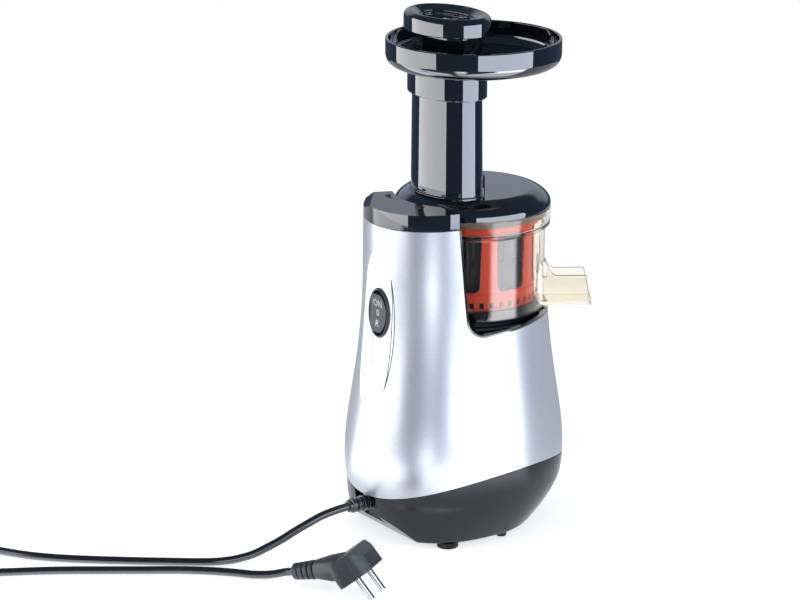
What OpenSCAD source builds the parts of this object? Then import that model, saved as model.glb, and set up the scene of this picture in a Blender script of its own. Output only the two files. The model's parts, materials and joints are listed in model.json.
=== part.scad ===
// Cold press juicer, vertical type: a tall housing with a motor and gearbox in
// its foot, and a lift-off bowl, lid, feed tray and pusher in a front cut-out.
// The origin is on the floor under the housing's axis. +Z is up, the front is -Y.

/* [Housing] */
// Half length of the housing, front to back, at its widest
belly_half = 86.4; // [84:0.2:90]
// Height of the widest section
belly_z = 56; // [54:1:58]
// Half length of the housing at its waist
waist_half = 71.6; // [71:0.2:74]
// Height of the waist
waist_z = 205; // [195:1:215]
// Width of the housing over its length
slimness = 0.895; // [0.88:0.005:0.93]
// Wall of the housing and of the base
wall = 2.6; // [2.2:0.1:3]
// Height of the rear cover's top at the housing axis
cover_z = 260.6; // [259:0.2:263]
// Height of the rear cover's rim
cover_h = 12.2; // [10:0.2:14]
// Slope of the rear cover, down to the rear
cover_tilt = 5.2; // [3:0.1:6]
// Radius of the arched seam between housing and base
seam_r = 208; // [200:1:230]
// Height of the seam's top
seam_z = 59.5; // [58:0.5:62]
// Gap along visible seams
seam_gap = 0.5; // [0.3:0.05:0.8]

/* [Base] */
// Height of the base floor above the table
foot_h = 4.5; // [4:0.5:5]
// Radius of a main foot
foot_r = 8; // [6:0.5:9]

/* [Bowl] */
// Offset of the bowl axis to the front
bowl_offset = 16; // [15.6:0.2:16.4]
// Outer radius of the bowl
bowl_r = 54.5; // [54:0.1:54.8]
// Height of the bowl's lower edge
bowl_z = 168.5; // [168:0.1:169]
// Height of the bowl's flange
flange_z = 232; // [230:0.5:236]
// Height of the lid's lower edge
lid_z = 245.8; // [244:0.2:248]
// Width of the flange and lid beyond the bowl's wall
flange_w = 4.1; // [3.7:0.1:4.3]
// Direction of the juice spout from the front, to the left
spout_turn = 33; // [30:1:36]
// Width of the juice spout
spout_w = 25.5; // [24:0.5:27]
// Direction of the pulp outlet from the front, to the right
pulp_turn = 58; // [54:1:60]

/* [Feed] */
// Distance from the bowl axis back to the feed chute's axis
chute_offset = 24.3; // [24:0.1:24.6]
// Outer half depth of the oval chute at its top, front to back
chute_r = 20.8; // [20:0.1:21.5]
// How much longer the oval's half width is than its half depth
chute_stretch = 11.8; // [8:0.2:13]
// Height of the chute's top
chute_z = 350; // [345:1:352]
// Radius of the feed tray
tray_r = 65.1; // [62:0.5:68]
// Height of the tray's rim
tray_z = 372; // [370:1:376]
// Half depth of the pusher's oval cap
cap_r = 27.4; // [27:0.2:29]
// Height of the pusher cap's top
cap_z = 396; // [394:1:400]

/* [Drive] */
// Radius of the motor
motor_r = 35; // [32:0.5:36]
// Radius of the motor shaft
shaft_r = 4; // [3.5:0.1:4.2]
// Width of the drive hexagon, corner to corner
hex_d = 12.4; // [11.6:0.1:12.6]
// Size of a gear tooth in the gearbox
tooth = 1; // [0.96:0.01:1]

/* [Switch and cord] */
// Height of the switch
switch_z = 175; // [173:1:177]
// Half height of the switch bezel
switch_half = 19; // [18:0.5:20]
// Radius of the mains cord
cord_r = 3; // [2.9:0.05:3.1]
// Angle of the rocker's throw each way
rocker_throw = 8; // [6:0.5:8]

/* [Hidden] */

$fn = 96;
eps = 0.01;
fit_gap = 0.02;
run_gap = 0.05;
front_pull = [0, -bowl_offset, 0];
lid_r = bowl_r + flange_w;
chute_pos = [0, chute_offset - bowl_offset, 0];
silver = "silver";
gloss = "#202226";
satin = "#45484d";
amber = [0.9, 0.75, 0.45, 0.45];
orange_red = "#e8562a";
steel = "#b8bcc0";
rubber = "#2a2b2e";

// ---- outlines -----------------------------------------------------------

// Point of a cubic curve between two upright ends
function upright_blend(a, b, pull_a, pull_b, t) = let (u = 1 - t)
    u * u * u * a + 3 * u * u * t * (a + [0, pull_a]) + 3 * u * t * t * (b - [0, pull_b]) + t * t * t * b;

top_half = waist_half - 1.1;
top_z = 275;
undercut = 0.0043;
flank_pull = 38;
waist_pull = 75;

// Half length of the body below the belly
function foot_half(z) = belly_half - undercut * (belly_z - z) * (belly_z - z);

// Housing outline, lower edge to top, as [half length, height]
housing_outline = concat(
    [for (z = [30, 40, 48]) [foot_half(z), z]],
    [for (i = [0 : 9])
        upright_blend([belly_half, belly_z], [waist_half, waist_z], flank_pull, waist_pull, i / 9)],
    [[top_half, top_z]]);

// The housing's oval body as a scaled revolve, drawn in by an inset
module oval_body(inset = 0) {
    scale([slimness, 1, 1])
    rotate_extrude()
    polygon(concat(
        [[0, housing_outline[0][1]]],
        [for (p = housing_outline) [p[0] - inset, p[1]]],
        [[0, top_z]]));
}

// Solid through rings of points, all rings with the same number of sides
module ring_loft(points, levels, sides) {
    last = (levels - 1) * sides;
    faces = concat(
        [[for (i = [0 : sides - 1]) i]],
        [for (j = [0 : levels - 2]) for (i = [0 : sides - 1])
            let (a = j * sides + i, b = j * sides + (i + 1) % sides)
            each [[a, a + sides, b + sides], [a, b + sides, b]]],
        [[for (i = [sides - 1 : -1 : 0]) last + i]]);
    polyhedron(points, faces, convexity = 4);
}

oval_sides = 64;

// The housing's oval body as a loft, drawn in by an inset
module oval_loft(inset) {
    points = [for (p = housing_outline) for (i = [0 : oval_sides - 1])
        (p[0] - inset) * [slimness * cos(i * 360 / oval_sides), sin(i * 360 / oval_sides), 0] + [0, 0, p[1]]];
    ring_loft(points, len(housing_outline), oval_sides);
}

// Everything below the arched seam, with a gap taken off
module under_seam(grow) {
    translate([0, -12, seam_z - seam_r])
    rotate([0, 90, 0])
    cylinder(r = seam_r + grow, h = 240, center = true, $fn = 180);
}

// The space above the sloping plane at the given height over the housing axis
module above_slope(z, depth = 80) {
    translate([0, 0, z])
    rotate([-cover_tilt, 0, 0])
    translate([-120, -120, 0])
    cube([240, 240, depth]);
}

cut_back_y = 36.4;
cut_foot_y = 31;
cut_corner = 12;
sill_low_z = bowl_z - 4.7;
sill_high_z = bowl_z - 1.5;
sill_high_y = -35;
trim_t = 1.5;
trim_gap = 0.1;

// Side view of the front cut-out, grown outward by a margin
module cut_outline(grow = 0) {
    corner = [cut_foot_y - cut_corner, sill_low_z + cut_corner];
    arc = [for (a = [-8 : -14 : -92]) corner + (cut_corner + grow) * [cos(a), sin(a)]];
    polygon(concat(
        [[-100, 300], [cut_back_y + grow + 3, 300]],
        arc,
        [[sill_high_y, sill_high_z - grow], [-100, sill_high_z - grow]]));
}

module cut_out(grow = 0) {
    rotate([90, 0, 90])
    linear_extrude(240, center = true)
    cut_outline(grow);
}

// ---- housing --------------------------------------------------------------

scoop_r = 297;
scoop_lean = 4.1;
scoop_depth = 3.2;
scoop_z = 165;
scoop_body_y = 73.1;
scoop_centre = [scoop_body_y - scoop_depth + scoop_r * cos(scoop_lean), scoop_z + scoop_r * sin(scoop_lean)];
facet_y = scoop_centre[0] - sqrt(scoop_r * scoop_r - pow(scoop_centre[1] - switch_z, 2));
facet_lean = asin((scoop_centre[1] - switch_z) / scoop_r);
panel_gap = 0.2;
panel_half_w = 26;
panel_low = 112;
panel_high = 212;
panel_back = 66.2;
bezel_slim = 0.66;

// Wide shallow scoop that leaves a leaf-shaped flat round the switch
module scoop() {
    translate([0, scoop_centre[0], scoop_centre[1]])
    rotate([0, 90, 0])
    cylinder(r = scoop_r, h = 100, center = true, $fn = 360);
}

// Looks outward from the middle of the switch, +Z away from the housing
module on_facet() {
    translate([0, facet_y, switch_z])
    rotate([facet_lean, 0, 0])
    rotate([-90, 0, 0])
    children();
}

module oval(r, slim, h) {
    scale([slim, 1, 1]) cylinder(r = r, h = h);
}

// Widens a round shape of radius r to the feed's oval: as deep as before, and wider by the stretch
module widened(r) {
    scale([(r + chute_stretch) / r, 1, 1]) children();
}

module feed_oval(r, h) {
    widened(r) cylinder(r = r, h = h);
}

// Point of the feed's oval of half depth r whose wall faces the given direction
function feed_point(r, turn) = let (wide = r + chute_stretch)
    [wide * wide * cos(turn), r * r * sin(turn), 0]
    / sqrt(pow(wide * cos(turn), 2) + pow(r * sin(turn), 2));

module housing() {
    color(silver)
    difference() {
        oval_loft(0);
        oval_loft(wall);
        under_seam(seam_gap / 2);
        above_slope(cover_z - cover_h - seam_gap / 2);
        cut_out(trim_t);
        scoop();
        switch_hole();
    }
}

flange_room = 0.15;

// Room for the switch bezel's flange, and behind it a narrower hole for its body
module switch_hole() {
    flange = switch_half + flange_room;
    body = switch_half - socket_lip + flange_room;
    on_facet()
    scale([bezel_slim, 1, 1])
    rotate_extrude()
    polygon([[0, -20], [body, -20], [body, 0], [flange, 0], [flange, 20], [0, 20]]);
}

// Backs the scoop from inside the wall and carries the switch
module switch_panel() {
    color(silver)
    difference() {
        intersection() {
            oval_body(wall + panel_gap);
            translate([-panel_half_w, 58, panel_low]) cube([2 * panel_half_w, 40, panel_high - panel_low]);
        }
        scoop();
        translate([-panel_half_w - 1, panel_back - 40, panel_low - 1])
        cube([2 * panel_half_w + 2, 40, 200]);
        switch_hole();
    }
}

collar_gap = 1.9;
cover_wall = 2.4;

module rear_cover() {
    color(gloss)
    difference() {
        oval_body();
        above_slope(cover_z);
        difference() {
            translate([-120, -120, 0]) cube([240, 240, 400]);
            above_slope(cover_z - cover_h + seam_gap / 2);
        }
        translate([-120, -140 + cut_back_y + 0.4, 200]) cube([240, 140, 100]);
        translate(front_pull)
        translate([0, 0, 200])
        cylinder(r = lid_r + collar_gap, h = 100);
        difference() {
            oval_body(cover_wall);
            above_slope(cover_z - cover_wall);
            translate([-120, -140 + cut_back_y + 0.4 + cover_wall, 200]) cube([240, 140, 100]);
            translate(front_pull)
            translate([0, 0, 200])
            cylinder(r = lid_r + collar_gap + cover_wall, h = 100);
        }
    }
}

mark_h = 0.5;

// Raised arrow and bars that show which way the lid turns
module cover_marks() {
    color(gloss)
    translate([0, 0, cover_z])
    rotate([-cover_tilt, 0, 0])
    translate([0, -bowl_offset, 0.02])
    for (turn = [-16, 16]) rotate(turn) translate([0, lid_r + 7.5, 0]) linear_extrude(mark_h) {
        polygon([[-sign(turn) * 4, -2.4], [-sign(turn) * 4, 2.4], [sign(turn) * 4, 0]]);
    }
}

seat_wall = 2.2;
seat_top = 242;
well_r = bowl_r - 2.1;
well_depth = 13.5;
well_z = bowl_z - well_depth;
well_floor = 2.6;
boss_r = 13;
groove_t = 1.2;

// Thin edge of the liner that shows round the cut-out, flush with the housing
module seat_trim() {
    difference() {
        intersection() {
            oval_body(trim_gap);
            cut_out(trim_t - trim_gap);
        }
        cut_out();
        oval_body(wall + 0.4);
        above_slope(cover_z - cover_h - seam_gap / 2 - trim_gap);
    }
}

// Black liner: a sill and back wall round the cut-out, and a round well for the bowl
module bowl_seat() {
    color(gloss)
    difference() {
        union() {
            seat_trim();
            intersection() {
                oval_body(wall + 0.3);
                difference() {
                    cut_out(seat_wall);
                    cut_out();
                }
                translate([-120, -120, 150]) cube([240, 240, seat_top - 150]);
            }
            intersection() {
                oval_body(wall + 0.3);
                translate(front_pull)
                translate([0, 0, sill_low_z - 4])
                cylinder(r = lid_r + collar_gap + seat_wall, h = seat_top - sill_low_z + 4);
                translate([-60, cut_foot_y - 1, 150]) cube([120, 60, seat_top - 150]);
            }
            translate(front_pull)
            translate([0, 0, well_z])
            cylinder(r = well_r + seat_wall, h = sill_low_z - well_z - 0.4);
        }
        translate(front_pull) {
            translate([0, 0, well_z + well_floor]) cylinder(r = well_r, h = 120);
            translate([0, 0, sill_low_z - 0.5]) cylinder(r = lid_r + collar_gap, h = 120);
            translate([0, 0, well_z - eps]) cylinder(r = boss_r, h = 20);
            translate([0, 0, well_z + well_floor - groove_t]) difference() {
                cylinder(r = boss_r + 5, h = 20);
                translate([0, 0, -1]) cylinder(r = boss_r + 2, h = 30);
            }
        }
    }
}

// Rubber ring in a groove of the well's floor
module seat_seal() {
    color(rubber)
    translate(front_pull)
    translate([0, 0, well_z + well_floor - groove_t])
    difference() {
        cylinder(r = boss_r + 5 - fit_gap, h = groove_t + 0.25);
        translate([0, 0, -1]) cylinder(r = boss_r + 2 + fit_gap, h = 3 + groove_t);
    }
}

// ---- base ------------------------------------------------------------------

rings = [foot_h, 9, 14, 20, 27, 36, 48, 60];
sides = 72;
square_rear = 0.6;
lean_front = -0.3;
front_tuck = 11;
side_tuck = 0.0052;
rear_edge = 59.8;

// How far down the foot is at height z: 0 at the plain oval, 1 at the floor
function down(z) = max(0, (36 - z) / (36 - foot_h));

// Point on the base at height z and angle a, squarer at the rear and tucked in at the front
function base_point(z, a, inset = 0) = let (
    k = down(z),
    n = 2 + k * (sin(a) > 0 ? square_rear : lean_front),
    half_l = foot_half(min(z, belly_z)) - (sin(a) < 0 ? front_tuck * k * k : 0) - inset,
    half_w = slimness * belly_half - side_tuck * pow(belly_z - min(z, belly_z), 2) - inset
) [half_w * sign(cos(a)) * pow(abs(cos(a)), 2 / n), half_l * sign(sin(a)) * pow(abs(sin(a)), 2 / n), z];

module base_loft(levels, inset) {
    points = [for (z = levels) for (i = [0 : sides - 1]) base_point(z, i * 360 / sides, inset)];
    ring_loft(points, len(levels), sides);
}

floor_t = 3;
cavity_levels = [foot_h + floor_t, 22, 40, 66];
pocket_w = 27;
pocket_y = 72;
pocket_z = 13;
boot_z = 28.5;
motor_y = 14;
post_spots = [[44, -16], [-44, -16], [30, 46], [-30, 46]];
post_r = 4.5;
post_top = 94;
screw_r = 2;
foot_spots = [[50, 43], [-50, 43], [26, -42], [-26, -42]];
stud_spots = [[56, -3], [-56, -3]];
vent_r = 24;

// The space behind the sloping lower rear edge, moved forward by an inset
module rear_slope(inset) {
    translate([-100, rear_edge + foot_h - inset, foot_h])
    rotate([-45, 0, 0])
    translate([0, 0, -60])
    cube([200, 60, 120]);
}

module base() {
    color(satin)
    difference() {
        union() {
            difference() {
                intersection() {
                    base_loft(rings, 0);
                    under_seam(-seam_gap / 2);
                }
                difference() {
                    base_loft(cavity_levels, wall);
                    rear_slope(wall * sqrt(2));
                }
            }
            translate([-pocket_w / 2 - wall, pocket_y - wall - 3, foot_h + floor_t - eps])
            cube([pocket_w + 2 * wall, 11, 29]);
            for (p = post_spots)
                translate([p[0], p[1], foot_h + 1])
                cylinder(r = post_r, h = post_top - foot_h - 1);
        }
        translate([-pocket_w / 2, pocket_y, pocket_z]) cube([pocket_w, 40, 60]);
        rear_slope(0);
        translate([0, 60, boot_z]) rotate([-90, 0, 0]) cylinder(r = boot_groove_r, h = 20);
        for (p = post_spots) translate([p[0], p[1], foot_h - 1]) {
            cylinder(r = screw_r + run_gap, h = 120);
            cylinder(r = 3.6, h = 4);
        }
        for (i = [0 : 4]) translate([-vent_r, motor_y - 21 + 10 * i, foot_h - 1]) cube([2 * vent_r, 4, 8]);
    }
}

// Round ribbed rubber feet, with two small studs at the sides
module feet() {
    color(rubber) {
        for (p = foot_spots) translate(p) difference() {
            cylinder(r = foot_r, h = foot_h - 0.02);
            for (r = [2.5, 5]) translate([0, 0, -1]) difference() {
                cylinder(r = r + 0.8, h = 2);
                cylinder(r = r - 0.2, h = 2);
            }
        }
        for (p = stud_spots) translate(p) cylinder(r = 4, h = foot_h - 0.02);
    }
}

module base_screws() {
    color(steel)
    for (p = post_spots) translate([p[0], p[1], foot_h + 0.5]) {
        cylinder(r = 3.4, h = 2.4);
        cylinder(r = screw_r, h = gearbox_z + plate_t - foot_h - 1.2);
    }
}

// ---- motor -------------------------------------------------------------------

motor_axis = [0, motor_y, 0];
gearbox_z = 97;
plate_t = 3;
can_h = 52;
can_z = gearbox_z - can_h - 5;
can_wall = 1.6;
stack_h = can_h - 22;
rotor_r = 20;
air_gap = 0.8;
fan_z = can_z - 16;
fan_r = 30;

module motor_can() {
    color(steel)
    translate(motor_axis)
    translate([0, 0, can_z])
    difference() {
        cylinder(r = motor_r, h = can_h);
        translate([0, 0, can_wall]) cylinder(r = motor_r - can_wall, h = can_h - 2 * can_wall);
        translate([0, 0, -1]) cylinder(r = shaft_r + 0.06, h = 100);
        for (a = [0 : 45 : 315]) rotate(a) translate([22, -3, -1]) cube([8, 6, can_h + 2]);
    }
}

module stator() {
    color("#8a3b22")
    translate(motor_axis)
    translate([0, 0, can_z + (can_h - stack_h) / 2])
    difference() {
        cylinder(r = motor_r - can_wall - 0.02, h = stack_h);
        translate([0, 0, -1]) cylinder(r = rotor_r + air_gap, h = stack_h + 2);
    }
}

module rotor() {
    color("#6d7176")
    translate(motor_axis) {
        translate([0, 0, can_z + (can_h - stack_h) / 2]) cylinder(r = rotor_r, h = stack_h);
        translate([0, 0, fan_z - 2]) cylinder(r = shaft_r, h = gearbox_z - fan_z + 2);
        translate([0, 0, gearbox_z]) cylinder(r = pinion_bore, h = one_z + wheel_h + 1 - gearbox_z);
    }
}

module motor_fan() {
    color("#30343a")
    translate(motor_axis)
    translate([0, 0, fan_z])
    difference() {
        union() {
            cylinder(r = 8, h = 9);
            cylinder(r = fan_r, h = 1.6);
            for (a = [0 : 40 : 320]) rotate(a) translate([7, -0.8, 0]) cube([fan_r - 8, 1.6, 9]);
        }
        translate([0, 0, -1]) cylinder(r = shaft_r, h = 20);
    }
}

// Plate that hangs the motor under the gearbox
module motor_bracket() {
    color(steel)
    difference() {
        union() {
            translate([0, 0, post_top + 0.02]) intersection() {
                translate([-50, -24, 0]) cube([100, 82, 2.4]);
                translate([0, 14, 0]) cylinder(r = 57, h = 3);
            }
            translate(motor_axis) translate([0, 0, can_z + can_h + 0.02])
            difference() {
                cylinder(r = 14, h = post_top - can_z - can_h + 1);
                translate([0, 0, -1]) cylinder(r = 8, h = 20);
            }
        }
        for (p = post_spots) translate([p[0], p[1], 80]) cylinder(r = screw_r + 0.2, h = 30);
        translate(motor_axis) translate([0, 0, 80]) cylinder(r = 7, h = 40);
        translate(front_pull) translate([0, 0, 80]) cylinder(r = 7, h = 40);
    }
}

// ---- gearbox -------------------------------------------------------------------

tooth_clear = 0.2;

// Disc gear with straight teeth, a little short of the pitch circle
module gear(teeth, size, h) {
    r = size * teeth / 2 - tooth_clear;
    root = r - 1.7 * size;
    step = 360 / teeth;
    linear_extrude(h)
    polygon([for (i = [0 : teeth - 1]) each [
        root * [cos(i * step - 0.36 * step), sin(i * step - 0.36 * step)],
        r * [cos(i * step - 0.16 * step), sin(i * step - 0.16 * step)],
        r * [cos(i * step + 0.16 * step), sin(i * step + 0.16 * step)],
        root * [cos(i * step + 0.36 * step), sin(i * step + 0.36 * step)]]]);
}

// The third corner of a triangle over a and b, at distance ra from a and rb from b
function corner_at(a, b, ra, rb) = let (
    d = norm(b - a),
    x = (d * d + ra * ra - rb * rb) / (2 * d),
    y = sqrt(ra * ra - x * x),
    u = (b - a) / d
) a + x * u + y * [-u[1], u[0]];

pinion_teeth = 10;
pinion_bore = 2.6;
wheel_teeth = 40;
small_one = 12;
small_two = 14;
last_teeth = 60;
motor_xy = [0, motor_y];
output_xy = [0, -bowl_offset];
two_turn = 50;
two_reach = tooth * (small_two + last_teeth) / 2;
two_xy = output_xy + two_reach * [cos(two_turn), sin(two_turn)];
one_xy = corner_at(
    motor_xy, two_xy, tooth * (pinion_teeth + wheel_teeth) / 2, tooth * (small_one + wheel_teeth) / 2);
box_xy = [2, 4];
box_wall = 3;
wheel_play = 0.63;
box_r = norm(one_xy - box_xy) + tooth * wheel_teeth / 2 + wheel_play + box_wall;
well_gap = 5;
box_h = well_z - gearbox_z - well_gap;
one_z = gearbox_z + plate_t + 2;
two_z = one_z + 12;
last_z = two_z + 12;
wheel_h = 9;
pin_r = 3;

module motor_pinion() {
    color(steel)
    translate([motor_xy[0], motor_xy[1], one_z])
    difference() {
        gear(pinion_teeth, tooth, wheel_h);
        translate([0, 0, -1]) cylinder(r = pinion_bore, h = 20);
    }
}

module gearbox_cup() {
    color("#3b3f45")
    difference() {
        translate([box_xy[0], box_xy[1], gearbox_z]) difference() {
            cylinder(r = box_r, h = box_h - plate_t);
            translate([0, 0, plate_t]) cylinder(r = box_r - box_wall, h = box_h);
        }
        translate([motor_xy[0], motor_xy[1], 80]) cylinder(r = 6, h = 40);
        for (p = [one_xy, two_xy]) translate([p[0], p[1], 80]) cylinder(r = pin_r, h = 40);
        translate([output_xy[0], output_xy[1], gearbox_z + 1]) cylinder(r = 6.05, h = 40);
        for (p = post_spots) translate([p[0], p[1], 80]) cylinder(r = screw_r + 0.05, h = 30);
    }
}

module gearbox_lid() {
    color("#3b3f45")
    difference() {
        union() {
            translate([box_xy[0], box_xy[1], gearbox_z + box_h - plate_t + fit_gap])
            cylinder(r = box_r, h = plate_t);
            translate([output_xy[0], output_xy[1], gearbox_z + box_h])
            cylinder(r = boss_r - 0.4, h = 6);
        }
        for (p = [one_xy, two_xy]) translate([p[0], p[1], 130]) cylinder(r = pin_r, h = 40);
        translate([output_xy[0], output_xy[1], 130]) {
            cylinder(r = 7, h = 40);
            translate([0, 0, gearbox_z + box_h - 130 - 1]) cylinder(r = 11, h = 10);
        }
    }
}

module compound_gear(xy, z, small) {
    translate([xy[0], xy[1], z]) difference() {
        union() {
            gear(wheel_teeth, tooth, wheel_h);
            translate([0, 0, wheel_h]) gear(small, tooth, 12);
        }
        translate([0, 0, -1]) cylinder(r = pin_r + 0.06, h = 40);
    }
}

module gear_one() {
    color("#d8d2c0") compound_gear(one_xy, one_z, small_one);
}

module gear_two() {
    color("#d8d2c0") compound_gear(two_xy, two_z, small_two);
}

module gear_pins() {
    color(steel)
    for (p = [one_xy, two_xy]) translate([p[0], p[1], gearbox_z]) cylinder(r = pin_r, h = box_h);
}

module output_gear() {
    color("#c9a24a")
    translate([output_xy[0], output_xy[1], last_z])
    difference() {
        gear(last_teeth, tooth, wheel_h);
        translate([0, 0, -1]) cylinder(r = 6, h = 20);
    }
}

hex_z = well_z + 8;
hex_h = 29;
hex_top = hex_z + hex_h;

module drive_shaft() {
    color(steel)
    translate([output_xy[0], output_xy[1], 0]) {
        translate([0, 0, gearbox_z + 1.2]) cylinder(r = 6, h = hex_z - gearbox_z - 1.2);
        translate([0, 0, hex_z]) cylinder(d = hex_d, h = hex_top - hex_z, $fn = 6);
    }
}

module shaft_bearing() {
    color("#c9a24a")
    translate([output_xy[0], output_xy[1], gearbox_z + box_h - 1 + 0.02])
    difference() {
        cylinder(r = 11 - 0.02, h = 6);
        translate([0, 0, -1]) cylinder(r = 6.04, h = 20);
    }
}

module shaft_seal() {
    color(rubber)
    translate([output_xy[0], output_xy[1], gearbox_z + box_h + 6.04])
    difference() {
        union() {
            cylinder(r = boss_r - 0.4, h = 1.4);
            cylinder(r = 8.6, h = 2.2);
        }
        translate([0, 0, -1]) cylinder(r = 6.08, h = 20);
    }
}

// ---- electrics -------------------------------------------------------------------

board_y = 67.5;
board_z = 36.6;

module circuit_board() {
    color("#2f6b3c")
    translate([-22, board_y, board_z]) difference() {
        cube([44, 1.6, 42]);
        for (x = [4, 40]) for (z = [4, 38])
            translate([x, -1, z])
            rotate([-90, 0, 0])
            cylinder(r = 1.6, h = 4);
    }
}

module capacitor() {
    color("#c9c4a8")
    translate([-9, board_y + 1.62, board_z + 14]) cube([18, 8, 14]);
}

safety_y = lid_r + collar_gap + seat_wall - bowl_offset + 0.3;
safety_z = 226;

module safety_switch() {
    color("#b03030")
    translate([-10, safety_y, safety_z]) {
        cube([20, 6, 12]);
        translate([12, 1.5, 12]) cube([4, 3, 1.5]);
    }
}

bezel_rim = 1.8;
socket_lip = 0.8;
socket_depth = 17;
rocker_gap = 0.7;
rocker_slim = (switch_half * bezel_slim - bezel_rim - rocker_gap) / (switch_half - bezel_rim - rocker_gap);

module switch_bezel() {
    well = switch_half - bezel_rim;
    well_slim = (switch_half * bezel_slim - bezel_rim) / well;
    color(gloss)
    on_facet()
    difference() {
        union() {
            translate([0, 0, 0.02]) oval(switch_half, bezel_slim, 1.8);
            translate([0, 0, -socket_depth]) oval(switch_half - socket_lip, bezel_slim, socket_depth + 1);
        }
        translate([0, 0, -socket_depth + 2]) oval(well, well_slim, socket_depth + 10);
    }
}

rocker_face_r = 60;
rocker_pin = 5;

// Three-way rocker with a hollow face, on a pin across the bezel
module rocker() {
    r = switch_half - bezel_rim - rocker_gap;
    color(satin)
    on_facet()
    difference() {
        intersection() {
            translate([0, 0, -8]) oval(r, rocker_slim, 11);
            translate([0, 0, -rocker_pin])
            rotate([0, 90, 0])
            cylinder(r = r - 0.2, h = 60, center = true);
        }
        translate([0, 0, rocker_face_r + 1.6])
        rotate([0, 90, 0])
        cylinder(r = rocker_face_r, h = 60, center = true);
    }
}

// ---- cord ------------------------------------------------------------------------

boot_groove_r = 6.4;
boot_tip_y = 99;

// Ribbed strain relief, tapered from the base to the cord
module cord_boot() {
    length = boot_tip_y - pocket_y;
    color(rubber)
    translate([0, pocket_y, boot_z])
    rotate([-90, 0, 0])
    difference() {
        union() {
            translate([0, 0, -6]) cylinder(r = boot_groove_r - 0.02, h = 6);
            translate([0, 0, -eps]) cylinder(r1 = 5.9, r2 = 4.4, h = length + eps);
            for (i = [0 : 4]) translate([0, 0, 4 + 4.4 * i]) cylinder(r = 6.7 - 0.3 * i, h = 2.6);
        }
        translate([0, 0, -10]) cylinder(r = cord_r, h = length + 20);
    }
}

module cord_clamp() {
    color(satin)
    translate([-9, 52, foot_h + floor_t]) difference() {
        cube([18, 6, 27]);
        translate([9, -1, boot_z - foot_h - floor_t]) rotate([-90, 0, 0]) cylinder(r = cord_r, h = 20);
    }
}

coil_xy = [164, 380];
coil_heading = 48.2;
coil_mid = 33;
coil_turn_r = coil_mid + cord_r;
tail_down = cord_r;

// Where the lead meets the coil and where the tail leaves it
coil_side = coil_turn_r * [sin(coil_heading), -cos(coil_heading)];
lead_end = [coil_xy[0] + coil_side[0], coil_xy[1] + coil_side[1], cord_r];
tail_start = [coil_xy[0] - coil_side[0], coil_xy[1] - coil_side[1], 3 * cord_r];

// Centreline from inside the base to the coil
lead_route = [
    [0, 52, 28.5], [0, 76, 28.5], [0, 98, 28.5], [0, 110, 28], [1, 122, 26], [2, 133, 22.5], [4, 144, 18],
    [6, 155, 13], [8, 166, 9], [10, 178, 5.5], [14, 191, 3.5], [19, 203, 3], [26, 214, 3], [40, 232, 3],
    [56, 252, 3], [72, 271, 3], [90, 291, 3], [110, 309, 3], [134, 324, 3], [160, 336, 3],
    lead_end - [7, 8, 0], lead_end];

plug_turn = -59;
plug_tilt = 39.4;
plug_xy = [-88.6, 147.5];
pin_length = 19;
plug_pin_r = 2.4;
plug_face_z = pin_length * cos(plug_tilt) + plug_pin_r * sin(plug_tilt) + 0.1;
plug_pos = [plug_xy[0], plug_xy[1], plug_face_z];
neck_start = [0, 6, 10];
neck_lean = 25;
neck_length = 45;
relief_z = 25;

// Turns a point from the plug's own frame to the part's
function plug_point(p) = let (
    y = p[1] * cos(plug_tilt) + p[2] * sin(plug_tilt),
    z = p[2] * cos(plug_tilt) - p[1] * sin(plug_tilt)
) plug_pos + [p[0] * cos(plug_turn) - y * sin(plug_turn), p[0] * sin(plug_turn) + y * cos(plug_turn), z];

plug_entry = plug_point(neck_start + neck_length * [0, cos(neck_lean), sin(neck_lean)]);

// Centreline from the coil to the plug
tail_route = [
    tail_start, tail_start - [8, 9, 1], [120, 383, 5.5], [107, 363, 3.8], [93, 340, 3], [80, 318, 3],
    [67, 298, 3], [52, 277, 3], [37, 256, 3], [23, 236, 3], [9, 219, 3], [-4, 206, 3], [-16, 196, 3],
    [-27, 187, 4.5], [-36, 179, 7.5], plug_entry];

// Smooth point between route[i] and route[i + 1]
function along(route, i, t) = let (
    a = route[max(i - 1, 0)], b = route[i], c = route[i + 1], d = route[min(i + 2, len(route) - 1)])
    b + t * (c - a) / 2 + t * t * (a - 2.5 * b + 2 * c - d / 2) + t * t * t * (1.5 * (b - c) + (d - a) / 2);

module tube(route, r, sides) {
    path = concat(
        [for (i = [0 : len(route) - 2]) each [along(route, i, 0), along(route, i, 0.5)]],
        [route[len(route) - 1]]);
    n = len(path);
    heading = [for (i = [0 : n - 1]) let (v = path[min(i + 1, n - 1)] - path[max(i - 1, 0)]) v / norm(v)];
    points = [for (i = [0 : n - 1]) let (
        side = cross(heading[i], [0, 0, 1]),
        u = side / norm(side),
        v = cross(u, heading[i])
    ) for (k = [0 : sides - 1]) path[i] + r * (cos(360 * k / sides) * u + sin(360 * k / sides) * v)];
    faces = concat(
        [[for (k = [0 : sides - 1]) k]],
        [for (i = [0 : n - 2]) for (k = [0 : sides - 1]) let (low = i * sides, m = (k + 1) % sides)
            [low + k, low + sides + k, low + sides + m, low + m]],
        [[for (k = [sides - 1 : -1 : 0]) (n - 1) * sides + k]]);
    polyhedron(points, faces, convexity = 8);
}

module cord_lead() {
    color(rubber) tube(lead_route, cord_r, 10);
}

module cord_tail() {
    color(rubber) tube(tail_route, cord_r, 10);
}

module cord_coil() {
    color(rubber)
    translate([coil_xy[0], coil_xy[1], 0])
    rotate_extrude()
    translate([coil_mid - 2 * cord_r, 0])
    square([4 * cord_r, 4 * cord_r]);
}

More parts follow.
